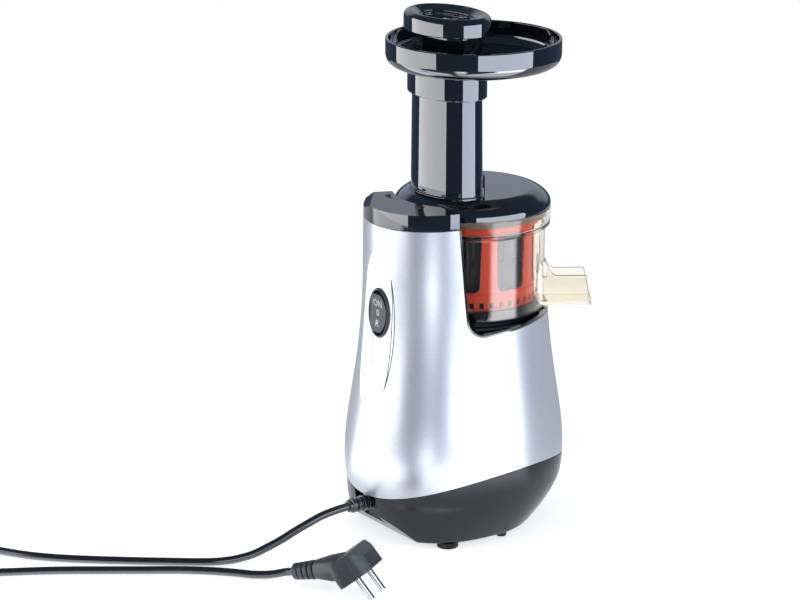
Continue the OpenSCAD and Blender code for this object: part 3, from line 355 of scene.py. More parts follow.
class Look(Enum):
    """The finishes of this juicer."""

    # Injection-moulded ABS from a polished tool: deep black, a hard clear shine, faint flow in the surface.
    BLACK_GLOSS = Finish(
        "black_gloss", "polished_black_abs", "#0b0e14", 0.05, ior=1.54,
        coat=1.0, coat_roughness=0.012, coat_ior=2.0, grain=9.0, grain_depth=0.006, mottle=0.3,
    )
    # Sprayed flake lacquer on ABS: bright but soft bands, a fine sparkle close up.
    SILVER = FlakeLacquer(
        "silver_coat", "flake_lacquer_on_abs", "#e0e3e9", 0.3, metallic=0.75, coat=0.35, coat_roughness=0.1,
    )
    # Spark-eroded ABS: an even satin with a fine pebble.
    SATIN_GREY = Finish(
        "satin_grey", "spark_eroded_abs", "#1a1d22", 0.42, ior=1.54, grain=0.5, grain_depth=0.02, mottle=0.12,
    )
    # Spark-eroded ABS of the rocker: a lighter grey than the base, half gloss.
    ROCKER = Finish(
        "satin_grey", "spark_eroded_grey_abs", "#2a2e34", 0.34, ior=1.54,
        grain=0.5, grain_depth=0.015, mottle=0.12,
    )
    # Semi-gloss ABS: a dark grey that still mirrors the cord and the table.
    BASE_GREY = Finish(
        "satin_grey", "semi_gloss_grey_abs", "#1d2025", 0.16, ior=1.56,
        grain=6.0, grain_depth=0.01, mottle=0.2,
    )
    # Moulded clear copolyester with a smoke-amber tint: see-through faces, dark thick edges.
    AMBER = Finish("amber_clear", "clear_amber_copolyester", "#f9f4e8", 0.02, specular=0.75, clear=1.0)
    # Moulded polypropylene: bright orange-red, a soft shine, light carries a little way in.
    ORANGE = Finish(
        "orange_red", "moulded_orange_pp", "#e2431a", 0.28, ior=1.49, specular=0.3, spread=0.12,
        grain=0.8, grain_depth=0.008,
    )
    # Moulded glass-filled PEI: nearly black, satin.
    FRAME_DARK = Finish(
        "strainer_dark", "moulded_dark_pei", "#17191d", 0.5, ior=1.45, specular=0.25,
        grain=0.6, grain_depth=0.01,
    )
    # Moulded ABS under the bowl: dark blue-grey, half gloss.
    FLOOR_DARK = Finish(
        "black_gloss", "moulded_dark_abs", "#10141b", 0.12, ior=1.5, specular=0.22,
        grain=4.0, grain_depth=0.005,
    )
    # Smoke-grey silicone: dull, lets a little light in.
    SMOKE_SILICONE = Finish(
        "silicone", "smoke_silicone", "#7d776b", 0.45, ior=1.41, spread=0.2, grain=0.7, grain_depth=0.01,
    )
    # Photo-etched stainless sheet, drawn nearly black: its colour is painted shade for the shaded inside of
    # the bowl, between holes of painted shade.
    MESH_STEEL = Perforated(
        "mesh_steel", "etched_stainless_sheet", "#2a2c32", 0.5, specular=0.3, metallic=0.3,
    )
    # Pressed silicone: milky, dull, slightly translucent.
    SILICONE = Finish(
        "silicone", "pressed_silicone", "#d5d1c6", 0.5, ior=1.41, spread=0.35, grain=0.7, grain_depth=0.01,
    )
    # Moulded nitrile rubber: dull black with a dry bloom.
    RUBBER = Finish(
        "black_rubber", "moulded_nitrile_rubber", "#1d1e20", 0.66, ior=1.52,
        grain=0.4, grain_depth=0.03, mottle=0.15,
    )
    # Extruded soft PVC: a long dull shine along the cord.
    CORD = Finish(
        "cord_rubber", "extruded_soft_pvc", "#1a1d22", 0.26, ior=1.53,
        coat=0.5, coat_roughness=0.12, coat_ior=1.8,
        grain=1.4, grain_depth=0.01, mottle=0.15, mottle_size=12.0,
    )
    # Overmoulded PVC: a touch duller than the cord, with the tool's fine spark texture.
    PLUG = Finish(
        "cord_rubber", "overmoulded_pvc", "#383b40", 0.32, ior=1.53, grain=0.35, grain_depth=0.03, mottle=0.1,
    )
    # Cold-rolled steel, zinc plated: a cool grey with soft drawn lines.
    STEEL = BrushedMetal("steel", "zinc_plated_steel", "#b4b6b9", 0.3, metallic=1.0)
    # Turned brass with nickel plate: bright warm pins with sharp highlights.
    NICKEL = BrushedMetal("steel", "nickel_plated_brass", "#d8d5cc", 0.16, metallic=1.0)
    # Varnished copper wire: a red-brown shine broken into rows, with painted shade in the grooves between
    # them.
    COPPER = Wound("copper_wound", "varnished_copper_wire", "#a4562c", 0.35, metallic=0.8)
    # Moulded natural nylon: ivory, waxy.
    NYLON = Finish(
        "gear_nylon", "moulded_natural_nylon", "#d9d2be", 0.42, ior=1.53, spread=0.2,
        grain=0.6, grain_depth=0.01,
    )
    # Turned or sintered brass: yellow with fine rings.
    BRASS = BrushedMetal("brass", "turned_brass", "#b5924f", 0.28, metallic=1.0)
    # Glass-fibre laminate: deep green with lighter tracks.
    BOARD = Laminate("board_green", "glass_fibre_laminate", "#1f5c36", 0.35)
    # Moulded polyester case of a film capacitor: a flat cream.
    FILM = Finish("film_cream", "moulded_polyester_case", "#b9b18f", 0.4, grain=0.5, grain_depth=0.01)
    # Moulded phenolic of a micro switch: a dull brick red.
    PHENOLIC = Finish("signal_red", "moulded_red_phenolic", "#8f2a26", 0.4, grain=0.5, grain_depth=0.01)
    # Moulded nylon tie: white, slightly translucent.
    TIE = Finish(
        "tie_white", "moulded_white_nylon", "#dcdcda", 0.4, ior=1.53, spread=0.1, grain=0.6, grain_depth=0.01,
    )
    # Pad-printed ink: a flat, slightly raised white.
    WHITE_INK = Finish("tie_white", "pad_printed_ink", "#e9e9e6", 0.55, grain=0.3, grain_depth=0.005)

    def get(self) -> bpy.types.Material:
        """Return the material, made on first use."""
        return bpy.data.materials.get(self.value.name) or self.value.material()


# ---- shapes ----


class Cut(Enum):
    """How one solid is combined with another."""

    AWAY = "DIFFERENCE"
    COMMON = "INTERSECT"
    JOIN = "UNION"


UNTURNED = Matrix.Identity(4)
# An outline's x, y and depth become Y, Z and X: a side view, or a face that looks along +X.
SIDE = Matrix(((0, 0, 1, 0), (1, 0, 0, 0), (0, 1, 0, 0), (0, 0, 0, 1)))
# An outline's x, y and depth become X, Z and Y: a front view.
STAND = Matrix(((1, 0, 0, 0), (0, 0, 1, 0), (0, 1, 0, 0), (0, 0, 0, 1)))
# An outline's depth becomes X, for what is round about an axis from side to side.
ACROSS = Matrix.Rotation(math.pi / 2, 4, "Y")


def show(name: str, data: bpy.types.ID) -> Thing:
    """Put a new object into the scene.

    Args:
        name: its name.
        data: its mesh, curve, lamp or camera.

    Returns:
        The object.
    """
    piece = bpy.data.objects.new(name, data)
    bpy.context.scene.collection.objects.link(piece)
    return piece


def tidy(piece: Thing, merge: float = 0.0, angle: float = 32.0) -> Thing:
    """Point the faces outwards and shade smooth except at sharp edges.

    Args:
        piece: the mesh object.
        merge: points closer than this many mm become one.
        angle: edges sharper than this many degrees stay crisp.

    Returns:
        The same object.
    """
    work = bmesh.new()
    work.from_mesh(piece.data)
    if merge:
        bmesh.ops.remove_doubles(work, verts=work.verts, dist=merge * MM)
    bmesh.ops.recalc_face_normals(work, faces=work.faces)
    work.to_mesh(piece.data)
    work.free()
    piece.data.shade_smooth()
    piece.data.set_sharp_from_angle(angle=math.radians(angle))
    return piece


def move(piece: Thing, turn: Matrix) -> Thing:
    """Move a piece's mesh by a matrix in mm."""
    piece.data.transform(Matrix.Scale(MM, 4) @ turn @ Matrix.Scale(1 / MM, 4))
    return tidy(piece)


def solid(name: str, points: Iterable[Sequence[float]], faces: Iterable[Sequence[int]]) -> Thing:
    """Make a mesh object from points in mm.

    Args:
        name: the object's name.
        points: the corners, in mm.
        faces: indices of each face's corners.

    Returns:
        The object, smooth and facing outwards.
    """
    mesh = bpy.data.meshes.new(name)
    mesh.from_pydata([tuple(c * MM for c in p) for p in points], [], [tuple(f) for f in faces])
    return tidy(show(name, mesh))


def rounded(corners: Outline, steps: int = 5) -> list[Pair]:
    """Round the corners of an outline.

    Args:
        corners: (x, y) or (x, y, radius) for each corner, in order.
        steps: segments in each arc.

    Returns:
        The outline's points.
    """
    found: list[Pair] = []
    count = len(corners)
    for i, corner in enumerate(corners):
        here = Vector(corner[:2])
        if len(corner) < 3 or corner[2] <= 0:
            found.append(tuple(here))
            continue
        back = Vector(corners[i - 1][:2]) - here
        ahead = Vector(corners[(i + 1) % count][:2]) - here
        half = back.angle(ahead) / 2
        if half > math.pi / 2 - 0.02:
            found.append(tuple(here))
            continue
        radius = min(corner[2], 0.49 * min(back.length, ahead.length) * math.tan(half))
        back.normalize()
        ahead.normalize()
        middle = here + (back + ahead).normalized() * (radius / math.sin(half))
        first = here + back * (radius / math.tan(half)) - middle
        last = here + ahead * (radius / math.tan(half)) - middle
        start = math.atan2(first.y, first.x)
        sweep = math.remainder(math.atan2(last.y, last.x) - start, 2 * math.pi)
        for k in range(steps + 1):
            a = start + sweep * k / steps
            found.append((middle.x + radius * math.cos(a), middle.y + radius * math.sin(a)))
    return found


def ellipse(a: float, b: float, sides: int = 96) -> list[Pair]:
    """Return an ellipse's outline with half axes a and b."""
    turns = [2 * math.pi * k / sides for k in range(sides)]
    return [(a * math.cos(t), b * math.sin(t)) for t in turns]


def lathe(name: str, outline: Sequence[Pair], centre: Pair = (0.0, 0.0), sides: int = 160) -> Thing:
    """Turn a closed outline of (radius, height) about an upright axis.

    Args:
        name: the object's name.
        outline: the profile in mm; it may start and end on the axis, or be a loop clear of it.
        centre: the axis, in mm.
        sides: segments round the axis.

    Returns:
        The turned solid.
    """
    points: list[Point] = []
    rings: list[list[int]] = []
    for r, z in outline:
        if r < 1e-6:
            rings.append([len(points)])
            points.append((centre[0], centre[1], z))
            continue
        rings.append(list(range(len(points), len(points) + sides)))
        for k in range(sides):
            a = 2 * math.pi * k / sides
            points.append((centre[0] + r * math.cos(a), centre[1] + r * math.sin(a), z))
    pairs = list(zip(rings, rings[1:]))
    if len(rings[0]) > 1 or len(rings[-1]) > 1:
        pairs.append((rings[-1], rings[0]))
    faces = []
    for low, high in pairs:
        if len(low) == 1 and len(high) == 1:
            continue
        for k in range(sides):
            n = (k + 1) % sides
            if len(low) == 1:
                faces.append((low[0], high[k], high[n]))
            elif len(high) == 1:
                faces.append((low[k], low[n], high[0]))
            else:
                faces.append((low[k], low[n], high[n], high[k]))
    return solid(name, points, faces)


def loft(name: str, rings: Sequence[Sequence[Point]]) -> Thing:
    """Skin a row of rings that all have as many points, and cap both ends.

    Args:
        name: the object's name.
        rings: the rings, in mm.

    Returns:
        The solid.
    """
    sides = len(rings[0])
    points = [p for ring in rings for p in ring]
    faces: list[tuple[int, ...]] = []
    for j in range(len(rings) - 1):
        a, b = j * sides, (j + 1) * sides
        faces += [(a + k, a + (k + 1) % sides, b + (k + 1) % sides, b + k) for k in range(sides)]
    faces += [tuple(range(sides)), tuple(range(len(points) - sides, len(points)))]
    return solid(name, points, faces)


def prism(name: str, outline: Sequence[Pair], low: float, high: float, turn: Matrix = UNTURNED) -> Thing:
    """Extrude an outline from one height to another.

    Args:
        name: the object's name.
        outline: the outline in mm.
        low: the lower height.
        high: the upper height.
        turn: a matrix in mm that then places the solid.

    Returns:
        The solid.
    """
    return loft(name, [[tuple(turn @ Vector((x, y, z))) for x, y in outline] for z in (low, high)])


def drum(r: float, low: float, high: float) -> list[Pair]:
    """Return the outline, for turning, of a drum between two heights."""
    return [(0, low), (r, low), (r, high), (0, high)]


def block(name: str, low: Point, high: Point, turn: Matrix = UNTURNED) -> Thing:
    """Make a straight block between two corners, for cutting with."""
    outline = [(low[0], low[1]), (high[0], low[1]), (high[0], high[1]), (low[0], high[1])]
    return prism(name, outline, low[2], high[2], turn)


def side_view(outline: Sequence[Pair], name: str = "side_cut", half: float = 120.0) -> Thing:
    """Extrude an outline drawn in the side view, as (y, z), right through the body."""
    return prism(name, outline, -half, half, SIDE)


def apply_modifiers(piece: Thing) -> Thing:
    """Turn the piece's modifiers into its plain mesh.

    Args:
        piece: the object with the modifiers.

    Returns:
        The same object, with none left.
    """
    graph = bpy.context.evaluated_depsgraph_get()
    mesh = bpy.data.meshes.new_from_object(piece.evaluated_get(graph), depsgraph=graph)
    piece.modifiers.clear()
    piece.data = mesh
    return piece


def combine(piece: Thing, kind: Cut, *tools: Thing) -> Thing:
    """Combine a solid with others, which are used up.

    Args:
        piece: the solid that is kept.
        kind: what is kept of it.
        tools: the solids that are used up.

    Returns:
        The same object.
    """
    for tool in tools:
        change = piece.modifiers.new("combine", "BOOLEAN")
        change.operation, change.solver, change.object = kind.value, "EXACT", tool
        apply_modifiers(piece)
        bpy.data.objects.remove(tool)
    return piece


def join(pieces: Sequence[Thing], name: str) -> Thing:
    """Join meshes into the first of them.

    Args:
        pieces: the objects; all but the first are used up.
        name: the result's name.

    Returns:
        The first object.
    """
    work = bmesh.new()
    for piece in pieces:
        work.from_mesh(piece.data)
    work.to_mesh(pieces[0].data)
    work.free()
    for piece in pieces[1:]:
        bpy.data.objects.remove(piece)
    pieces[0].name = name
    pieces[0].data.shade_smooth()
    pieces[0].data.set_sharp_from_angle(angle=math.radians(40))
    return pieces[0]


def soften(piece: Thing, width: float, segments: int = 3, angle: float = 40.0) -> Thing:
    """Round the sharp edges of a solid.

    Args:
        piece: the solid.
        width: the rounding in mm.
        segments: faces across it.
        angle: only edges sharper than this many degrees.

    Returns:
        The same object, smooth.
    """
    change = piece.modifiers.new("round", "BEVEL")
    change.width, change.segments = width * MM, segments
    change.limit_method, change.angle_limit = "ANGLE", math.radians(angle)
    apply_modifiers(piece)
    return tidy(piece, angle=50.0)


def place(piece: Thing, look: Look, body: str, *nodes: str) -> None:
    """Dress a finished piece, put it on its body and hide the nodes that it stands for.

    Args:
        piece: the finished piece.
        look: its finish.
        body: the body that it rides on.
        nodes: CAD nodes that it replaces.
    """
    if piece.type == "MESH":
        shade = piece.modifiers.new("shade", "WEIGHTED_NORMAL")
        shade.mode, shade.weight, shade.keep_sharp = "FACE_AREA", 50, True
        apply_modifiers(piece)
    piece.data.materials.clear()
    piece.data.materials.append(look.get())
    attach(piece, body)
    if nodes:
        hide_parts(*nodes)
    LOG.info("%s: %s on %s", piece.name, look.value.name, body)


# ---- shared sizes ----


@dataclass(frozen=True)
class Body:
    """Sizes that several pieces share, and the forms that follow from them."""

    slimness: float = 0.895
    belly: float = 86.4
    belly_z: float = 56.0
    undercut: float = 0.0043
    waist: float = 71.6
    waist_z: float = 205.0
    rise: float = 38.0
    fall: float = 75.0
    top: float = 70.5
    top_z: float = 275.0
    wall: float = 2.6
    foot: float = 4.5
    bowl_y: float = -16.0
    chute_y: float = 8.3
    chute_r: float = 20.8
    chute_bore: float = 18.3
    stretch: float = 11.8
    seam_r: float = 208.0
    seam_z: float = 59.5
    seam_y: float = -12.0
    gap: float = 0.5
    cover_z: float = 260.6
    cover_h: float = 12.2
    cover_tilt: float = 5.2
    lid_r: float = 58.6
    flat_r: float = 297.0
    flat_y: float = 69.9
    flat_z: float = 165.0
    flat_lean: float = 4.1
    switch_z: float = 175.0
    cord_z: float = 28.5

    def half(self, z: float) -> float:
        """Return the body's half length at a height.

        Args:
            z: the height.

        Returns:
            Half of the oval's longer axis, in mm.
        """
        if z <= self.belly_z:
            return self.belly - self.undercut * (self.belly_z - z) ** 2
        if z >= self.waist_z:
            return self.waist + (self.top - self.waist) * (z - self.waist_z) / (self.top_z - self.waist_z)
        low, high = 0.0, 1.0
        for _ in range(30):
            t = (low + high) / 2
            low, high = (t, high) if self.flank(t)[1] < z else (low, t)
        return self.flank(t)[0]

    def flank(self, t: float) -> Pair:
        """Return a point of the side's curve between belly and waist.

        Args:
            t: how far along it, from nought to one.

        Returns:
            The half length and the height.
        """
        u = 1 - t
        ends = [
            (self.belly, self.belly_z), (self.belly, self.belly_z + self.rise),
            (self.waist, self.waist_z - self.fall), (self.waist, self.waist_z),
        ]
        shares = [u**3, 3 * u * u * t, 3 * u * t * t, t**3]
        return tuple(sum(s * p[i] for s, p in zip(shares, ends)) for i in (0, 1))

    def ring(self, z: float, inset: float = 0.0, sides: int = 224) -> list[Point]:
        """Return the body's oval at a height.

        Args:
            z: the height.
            inset: how far it is drawn in.
            sides: number of points.

        Returns:
            The oval's points.
        """
        r = self.half(z) - inset
        turns = [2 * math.pi * k / sides for k in range(sides)]
        return [(r * self.slimness * math.cos(t), r * math.sin(t), z) for t in turns]

    def oval(self, name: str, low: float, high: float, inset: float = 0.0, step: float = 2.5) -> Thing:
        """Return a solid of the body's form between two heights."""
        count = max(1, round((high - low) / step))
        return loft(name, [self.ring(low + (high - low) * k / count, inset) for k in range(count + 1)])

    def turned(self, name: str, outline: Sequence[Pair], sides: int = 160) -> Thing:
        """Turn an outline of (radius, height) about the bowl's axis."""
        return lathe(name, outline, (0, self.bowl_y), sides)

    def widen(self, piece: Thing) -> Thing:
        """Make a round piece of the feed oval: its half width passes its half depth by one amount.

        Args:
            piece: the round piece.

        Returns:
            The same object.
        """
        for vertex in piece.data.vertices:
            reach = math.hypot(vertex.co.x, vertex.co.y - self.chute_y * MM)
            if reach > MM:
                vertex.co.x *= 1 + self.stretch * MM / reach
        return tidy(piece)

    def feed(self, name: str, outline: Sequence[Pair], sides: int = 192) -> Thing:
        """Turn an outline of (half depth, height) about the feed's axis and make it oval."""
        return self.widen(lathe(name, outline, (0, self.chute_y), sides))

    def under_seam(self, grow: float) -> Thing:
        """Return the cutter for everything below the arched seam."""
        middle, r = Matrix.Translation((0, self.seam_y, self.seam_z - self.seam_r)), self.seam_r + grow
        return prism("under_seam", ellipse(r, r, 720), -120, 120, middle @ ACROSS)

    def slope(self, z: float) -> Matrix:
        """Return the matrix of the sloping plane at a height over the axis."""
        return Matrix.Translation((0, 0, z)) @ Matrix.Rotation(math.radians(-self.cover_tilt), 4, "X")

    def above(self, z: float) -> Thing:
        """Return the cutter for everything above the sloping plane at a height over the axis."""
        return block("over", (-120, -120, 0), (120, 120, 80), self.slope(z))

    def flat_axis(self) -> Pair:
        """Return the (y, z) of the axis of the wide cylinder that cuts the flat."""
        lean = math.radians(self.flat_lean)
        return self.flat_y + self.flat_r * math.cos(lean), self.flat_z + self.flat_r * math.sin(lean)

    def flat_y_at(self, z: float) -> float:
        """Return how far back the flat stands at a height."""
        y, middle = self.flat_axis()
        return y - math.sqrt(self.flat_r**2 - (z - middle) ** 2)

    def scoop(self) -> Thing:
        """Return the wide shallow cutter that leaves the leaf-shaped flat."""
        middle = Matrix.Translation((0, *self.flat_axis()))
        return prism("scoop", ellipse(self.flat_r, self.flat_r, 900), -50, 50, middle @ ACROSS)

    def switch_place(self) -> Matrix:
        """Return the matrix at the middle of the switch: +Z outward, +Y up."""
        lean = math.asin((self.flat_axis()[1] - self.switch_z) / self.flat_r)
        return (
            Matrix.Translation((0, self.flat_y_at(self.switch_z), self.switch_z))
            @ Matrix.Rotation(lean - math.pi / 2, 4, "X")
            @ Matrix.Rotation(math.pi, 4, "Z")
        )

    def around_bowl(self, turn: float) -> Matrix:
        """Return the matrix whose +X points out of the bowl's axis, turned from the front."""
        return Matrix.Translation((0, self.bowl_y, 0)) @ Matrix.Rotation(math.radians(turn - 90), 4, "Z")


BODY = Body()


def front_cut(grow: float = 0.0) -> list[Pair]:
    """Return the front cut-out's outline in the side view, grown outward.

    Args:
        grow: how far outward, in mm.

    Returns:
        The outline's (y, z) points.
    """
    foot, corner, low = 31.0, 12.0, 163.8
    arc = []
    for k in range(13):
        a = math.radians(-8 - 84 * k / 12)
        y, z = (corner + grow) * math.cos(a), (corner + grow) * math.sin(a)
        arc.append((foot - corner + y, low + corner + z))
    return [(-130, 300), (36.4 + grow + 3, 300), *arc, (-35, 167 - grow), (-130, 167 - grow)]


# ---- cord ----


@dataclass
class Cord:
    """The mains cord with its coil, its boot and its plug."""

    radius: float = 3.0
    coil: Pair = (164.0, 380.0)
    coil_out: float = 36.0
    coil_in: float = 30.0
    coil_rows: Pair = (3.0, 9.0)
    heading: float = 48.2
    turns: float = 3.5
    lead: tuple[Point, ...] = (
        (0, 98, 28.5), (0, 110, 28), (1, 122, 26), (2, 133, 22.5), (4, 144, 18), (6, 155, 13), (8, 166, 9),
        (10, 178, 5.5), (14, 191, 3.5), (19, 203, 3), (26, 214, 3), (40, 232, 3), (56, 252, 3), (72, 271, 3),
        (90, 291, 3), (110, 309, 3), (134, 324, 3), (160, 336, 3),
    )
    tail: tuple[Point, ...] = (
        (120, 383, 5.5), (107, 363, 3.8), (93, 340, 3), (80, 318, 3), (67, 298, 3), (52, 277, 3),
        (37, 256, 3), (23, 236, 3), (9, 219, 3), (-4, 206, 3), (-16, 196, 3), (-27, 187, 4.5),
        (-36, 179, 7.5),
    )
    boot_y: float = 72.0
    plug_x: float = -88.6
    plug_y: float = 147.5
    plug_turn: float = -59.0
    plug_tilt: float = 39.4
    plug_half: float = 17.5
    plug_r: float = 18.4
    pin_length: float = 19.0
    pin_r: float = 2.4
    pin_x: float = 9.5
    neck_lean: float = 25.0
    neck_length: float = 45.0

    def plug_place(self) -> Matrix:
        """Return where the plug lies.

        Returns:
            Its matrix: its pins point down its own -Z.
        """
        tilt = math.radians(self.plug_tilt)
        z = self.pin_length * math.cos(tilt) + self.pin_r * math.sin(tilt) + 0.1
        return (
            Matrix.Translation((self.plug_x, self.plug_y, z))
            @ Matrix.Rotation(math.radians(self.plug_turn), 4, "Z")
            @ Matrix.Rotation(-tilt, 4, "X")
        )

    def neck_place(self) -> Matrix:
        """Return the matrix of the plug's neck, +Z along it towards the cord."""
        lean = Matrix.Rotation(math.radians(self.neck_lean - 90), 4, "X")
        return self.plug_place() @ Matrix.Translation((0, 6, 10)) @ lean

    def coil_points(self) -> list[Point]:
        """Return the coil's centreline.

        Returns:
            Its points in mm: out low, in low, in high, out high.
        """
        low, high = self.coil_rows
        radii = (self.coil_out, self.coil_in, self.coil_in, self.coil_out)
        heights = (low, low, high, high)
        start = math.radians(self.heading - 90)
        steps = 26 * 4
        points = []
        for k in range(steps + 1):
            t = k / steps
            share = min(t * 4, 3.999)
            ring = int(share)
            part = share - ring
            blend = max(0.0, (part - 0.84) / 0.16) if ring < 3 else 0.0
            ease = blend * blend * (3 - 2 * blend)
            following = min(ring + 1, 3)
            r = radii[ring] + (radii[following] - radii[ring]) * ease
            z = heights[ring] + (heights[following] - heights[ring]) * ease
            a = start + t * self.turns * 2 * math.pi
            points.append((self.coil[0] + r * math.cos(a), self.coil[1] + r * math.sin(a), z))
        return points

    @staticmethod
    def through(route: Sequence[Point], parts: int = 6) -> list[Vector]:
        """Return a smooth line through the route's points.

        Args:
            route: the points, in mm.
            parts: how many steps there are between two of them.

        Returns:
            The line's points.
        """
        found = []
        last = len(route) - 1
        for i in range(last):
            a, b, c, d = (Vector(route[max(0, min(k, last))]) for k in (i - 1, i, i + 1, i + 2))
            for k in range(parts):
                t = k / parts
                bend = t * t * (a - 2.5 * b + 2 * c - d / 2) + t**3 * (1.5 * (b - c) + (d - a) / 2)
                found.append(b + t * (c - a) / 2 + bend)
        return found + [Vector(route[-1])]

    def centreline(self) -> list[Vector]:
        """Return the whole cord's centreline.

        Returns:
            Its points in mm, from the boot to the plug, none lower than the cord's radius.
        """
        way = math.radians(self.heading)
        side = Vector((math.sin(way), -math.cos(way), 0)) * self.coil_out
        low, high = (Vector((*self.coil, z)) for z in self.coil_rows)
        lead_end, tail_start = low + side, high - side
        entry = self.neck_place() @ Vector((0, 0, self.neck_length))
        lead = self.through([*self.lead, tuple(lead_end - Vector((7, 8, 0))), tuple(lead_end)])
        start = (tuple(tail_start), tuple(tail_start - Vector((8, 9, 1))))
        tail = self.through([*start, *self.tail, tuple(entry)])
        line = lead[:-1] + [Vector(p) for p in self.coil_points()] + tail[1:]
        return [Vector((p.x, p.y, max(p.z, self.radius))) for p in line]

    def build_cord(self) -> None:
        line = self.centreline()
        curve = bpy.data.curves.new("mains_cord", "CURVE")
        curve.dimensions, curve.bevel_depth, curve.bevel_resolution = "3D", self.radius * MM, 5
        curve.use_fill_caps = True
        spline = curve.splines.new("POLY")
        spline.points.add(len(line) - 1)
        for point, spot in zip(spline.points, line):
            point.co = (*(spot * MM), 1.0)
        piece = show("mains_cord", curve)
        place(piece, Look.CORD, "base_unit", "cord_lead", "cord_coil", "cord_tail")

    def build_boot(self) -> None:
        """Make the ribbed, tapered strain relief where the cord leaves the base."""
        outline: list[Sequence[float]] = [(3.05, -6), (6.38, -6), (6.38, 0)]
        for i in range(5):
            low, r, root = 3.2 + 4.5 * i, 6.7 - 0.3 * i, 5.0 - 0.22 * i
            outline += [(root, low - 0.9, 0.3), (r, low, 0.5), (r, low + 2.7, 0.5), (root, low + 3.3, 0.3)]
        outline += [(4.6, 24.6, 0.4), (4.4, 27, 0.9), (3.05, 27)]
        boot = lathe("strain_relief", rounded(outline, 3), sides=64)
        move(boot, Matrix.Translation((0, self.boot_y, BODY.cord_z)) @ Matrix.Rotation(-math.pi / 2, 4, "X"))
        place(boot, Look.CORD, "base_unit", "cord_boot")

    def build_head(self) -> Thing:
        """Make the plug's faceted head with the root of its neck.

        Returns:
            The head.
        """
        side = ((-15.5, 0, 1.2), (19, 0, 1.2), (19, 7, 2), (10, 19, 3), (-8, 19, 4), (-15.5, 11, 2))
        half = self.plug_half
        head = prism("plug_body", rounded(side, 4), -half, half, self.plug_place() @ SIDE)
        middle = self.plug_place() @ Matrix.Translation((0, 1.0, 0))
        combine(head, Cut.COMMON, prism("width", ellipse(self.plug_r, self.plug_r, 96), -1, 30, middle))
        rings = []
        for z, a, b in ((-4, 13.2, 10.4), (5, 13.0, 10.2), (14, 11.2, 9.4), (22, 8.4, 7.8), (26, 7.2, 7.0)):
            rings.append([tuple(self.neck_place() @ Vector((x, y, z))) for x, y in ellipse(a, b, 64)])
        combine(head, Cut.JOIN, loft("neck", rings))
        return soften(head, 0.8, 3, 35.0)

    def build_plug(self) -> None:
        """Make the angled plug: a faceted head, a slotted neck and two pins."""
        head = self.build_head()
        outline: list[Sequence[float]] = [(3.02, 20), (6.6, 20), (6.6, 26)]
        for i in range(4):
            low, r = 27.4 + 4.4 * i, 7.1 - 0.3 * i
            outline += [(5.2, low - 0.7, 0.3), (r, low, 0.5), (r, low + 3.0, 0.5), (5.2, low + 3.5, 0.3)]
        outline += [(5.0, 44.4, 0.3), (4.6, self.neck_length, 0.4), (3.02, self.neck_length)]
        relief = move(lathe("plug_relief", rounded(outline, 3), sides=64), self.neck_place())
        low, r = -self.pin_length, self.pin_r
        shape = rounded([(0, low), (r, low, 1.6), (r, 3), (0, 3)], 5)
        pins = []
        for x in (-self.pin_x, self.pin_x):
            pin = lathe("plug_pin", shape, sides=40)
            pins.append(move(pin, self.plug_place() @ Matrix.Translation((x, 0, 0))))
        place(join(pins, "plug_prongs"), Look.NICKEL, "base_unit", "plug_pins")
        place(join([head, relief], "plug_body"), Look.PLUG, "base_unit", "plug")


class Repeat:
    """A Geometry Nodes tree that sets copies of a shape round an upright axis."""

    def __init__(self) -> None:
        """Build the tree once."""
        tree = self.tree = bpy.data.node_groups.new("set_round_axis", "GeometryNodeTree")
        face = tree.interface
        face.new_socket("Geometry", in_out="OUTPUT", socket_type="NodeSocketGeometry")
        kinds = {
            "Shape": "NodeSocketObject", "Count": "NodeSocketInt", "Centre": "NodeSocketVector",
            "Step": "NodeSocketFloat", "Finish": "NodeSocketMaterial",
        }
        self.sockets = {}
        for name, kind in kinds.items():
            self.sockets[name] = face.new_socket(name, in_out="INPUT", socket_type=kind).identifier
        given = add(tree, "NodeGroupInput").outputs
        shape = add(tree, "GeometryNodeObjectInfo", {"Object": given["Shape"]}, transform_space="ORIGINAL")
        back = add(tree, "ShaderNodeVectorMath", {0: given["Centre"], "Scale": -1.0}, operation="SCALE")
        to_axis = {"Geometry": shape.outputs["Geometry"], "Translation": back.outputs[0]}
        moved = add(tree, "GeometryNodeTransform", to_axis)
        spots = {"Count": given["Count"], "Start Location": given["Centre"], "Offset": (0.0, 0.0, 0.0)}
        row = add(tree, "GeometryNodeMeshLine", spots)
        index = add(tree, "GeometryNodeInputIndex").outputs[0]
        angle = add(tree, "ShaderNodeMath", {0: index, 1: given["Step"]}, operation="MULTIPLY")
        turn = add(tree, "ShaderNodeCombineXYZ", {"Z": angle.outputs[0]})
        each = {"Points": row.outputs[0], "Instance": moved.outputs[0], "Rotation": turn.outputs[0]}
        copies = add(tree, "GeometryNodeInstanceOnPoints", each)
        real = add(tree, "GeometryNodeRealizeInstances", {"Geometry": copies.outputs[0]})
        coat = {"Geometry": real.outputs[0], "Material": given["Finish"]}
        dressed = add(tree, "GeometryNodeSetMaterial", coat)
        add(tree, "NodeGroupOutput", {"Geometry": dressed.outputs[0]})

    def around(self, shape: Thing, count: int, look: Look) -> Thing:
        """Return one plain mesh of the shape set evenly round the bowl's axis; the shape is used up.

        Args:
            shape: the object to repeat, in its first place.
            count: how many there are.
            look: the finish of all of them.

        Returns:
            The mesh object.
        """
        name = shape.name
        shape.name = name + "_one"
        holder = show(name, bpy.data.meshes.new(name))
        change = holder.modifiers.new("round_axis", "NODES")
        change.node_group = self.tree
        change[self.sockets["Shape"]] = shape
        change[self.sockets["Count"]] = count
        change[self.sockets["Centre"]] = (0.0, BODY.bowl_y * MM, 0.0)
        change[self.sockets["Step"]] = math.radians(360 / count)
        change[self.sockets["Finish"]] = look.get()
        apply_modifiers(holder)
        bpy.data.objects.remove(shape)
        return holder


# ---- foot ----


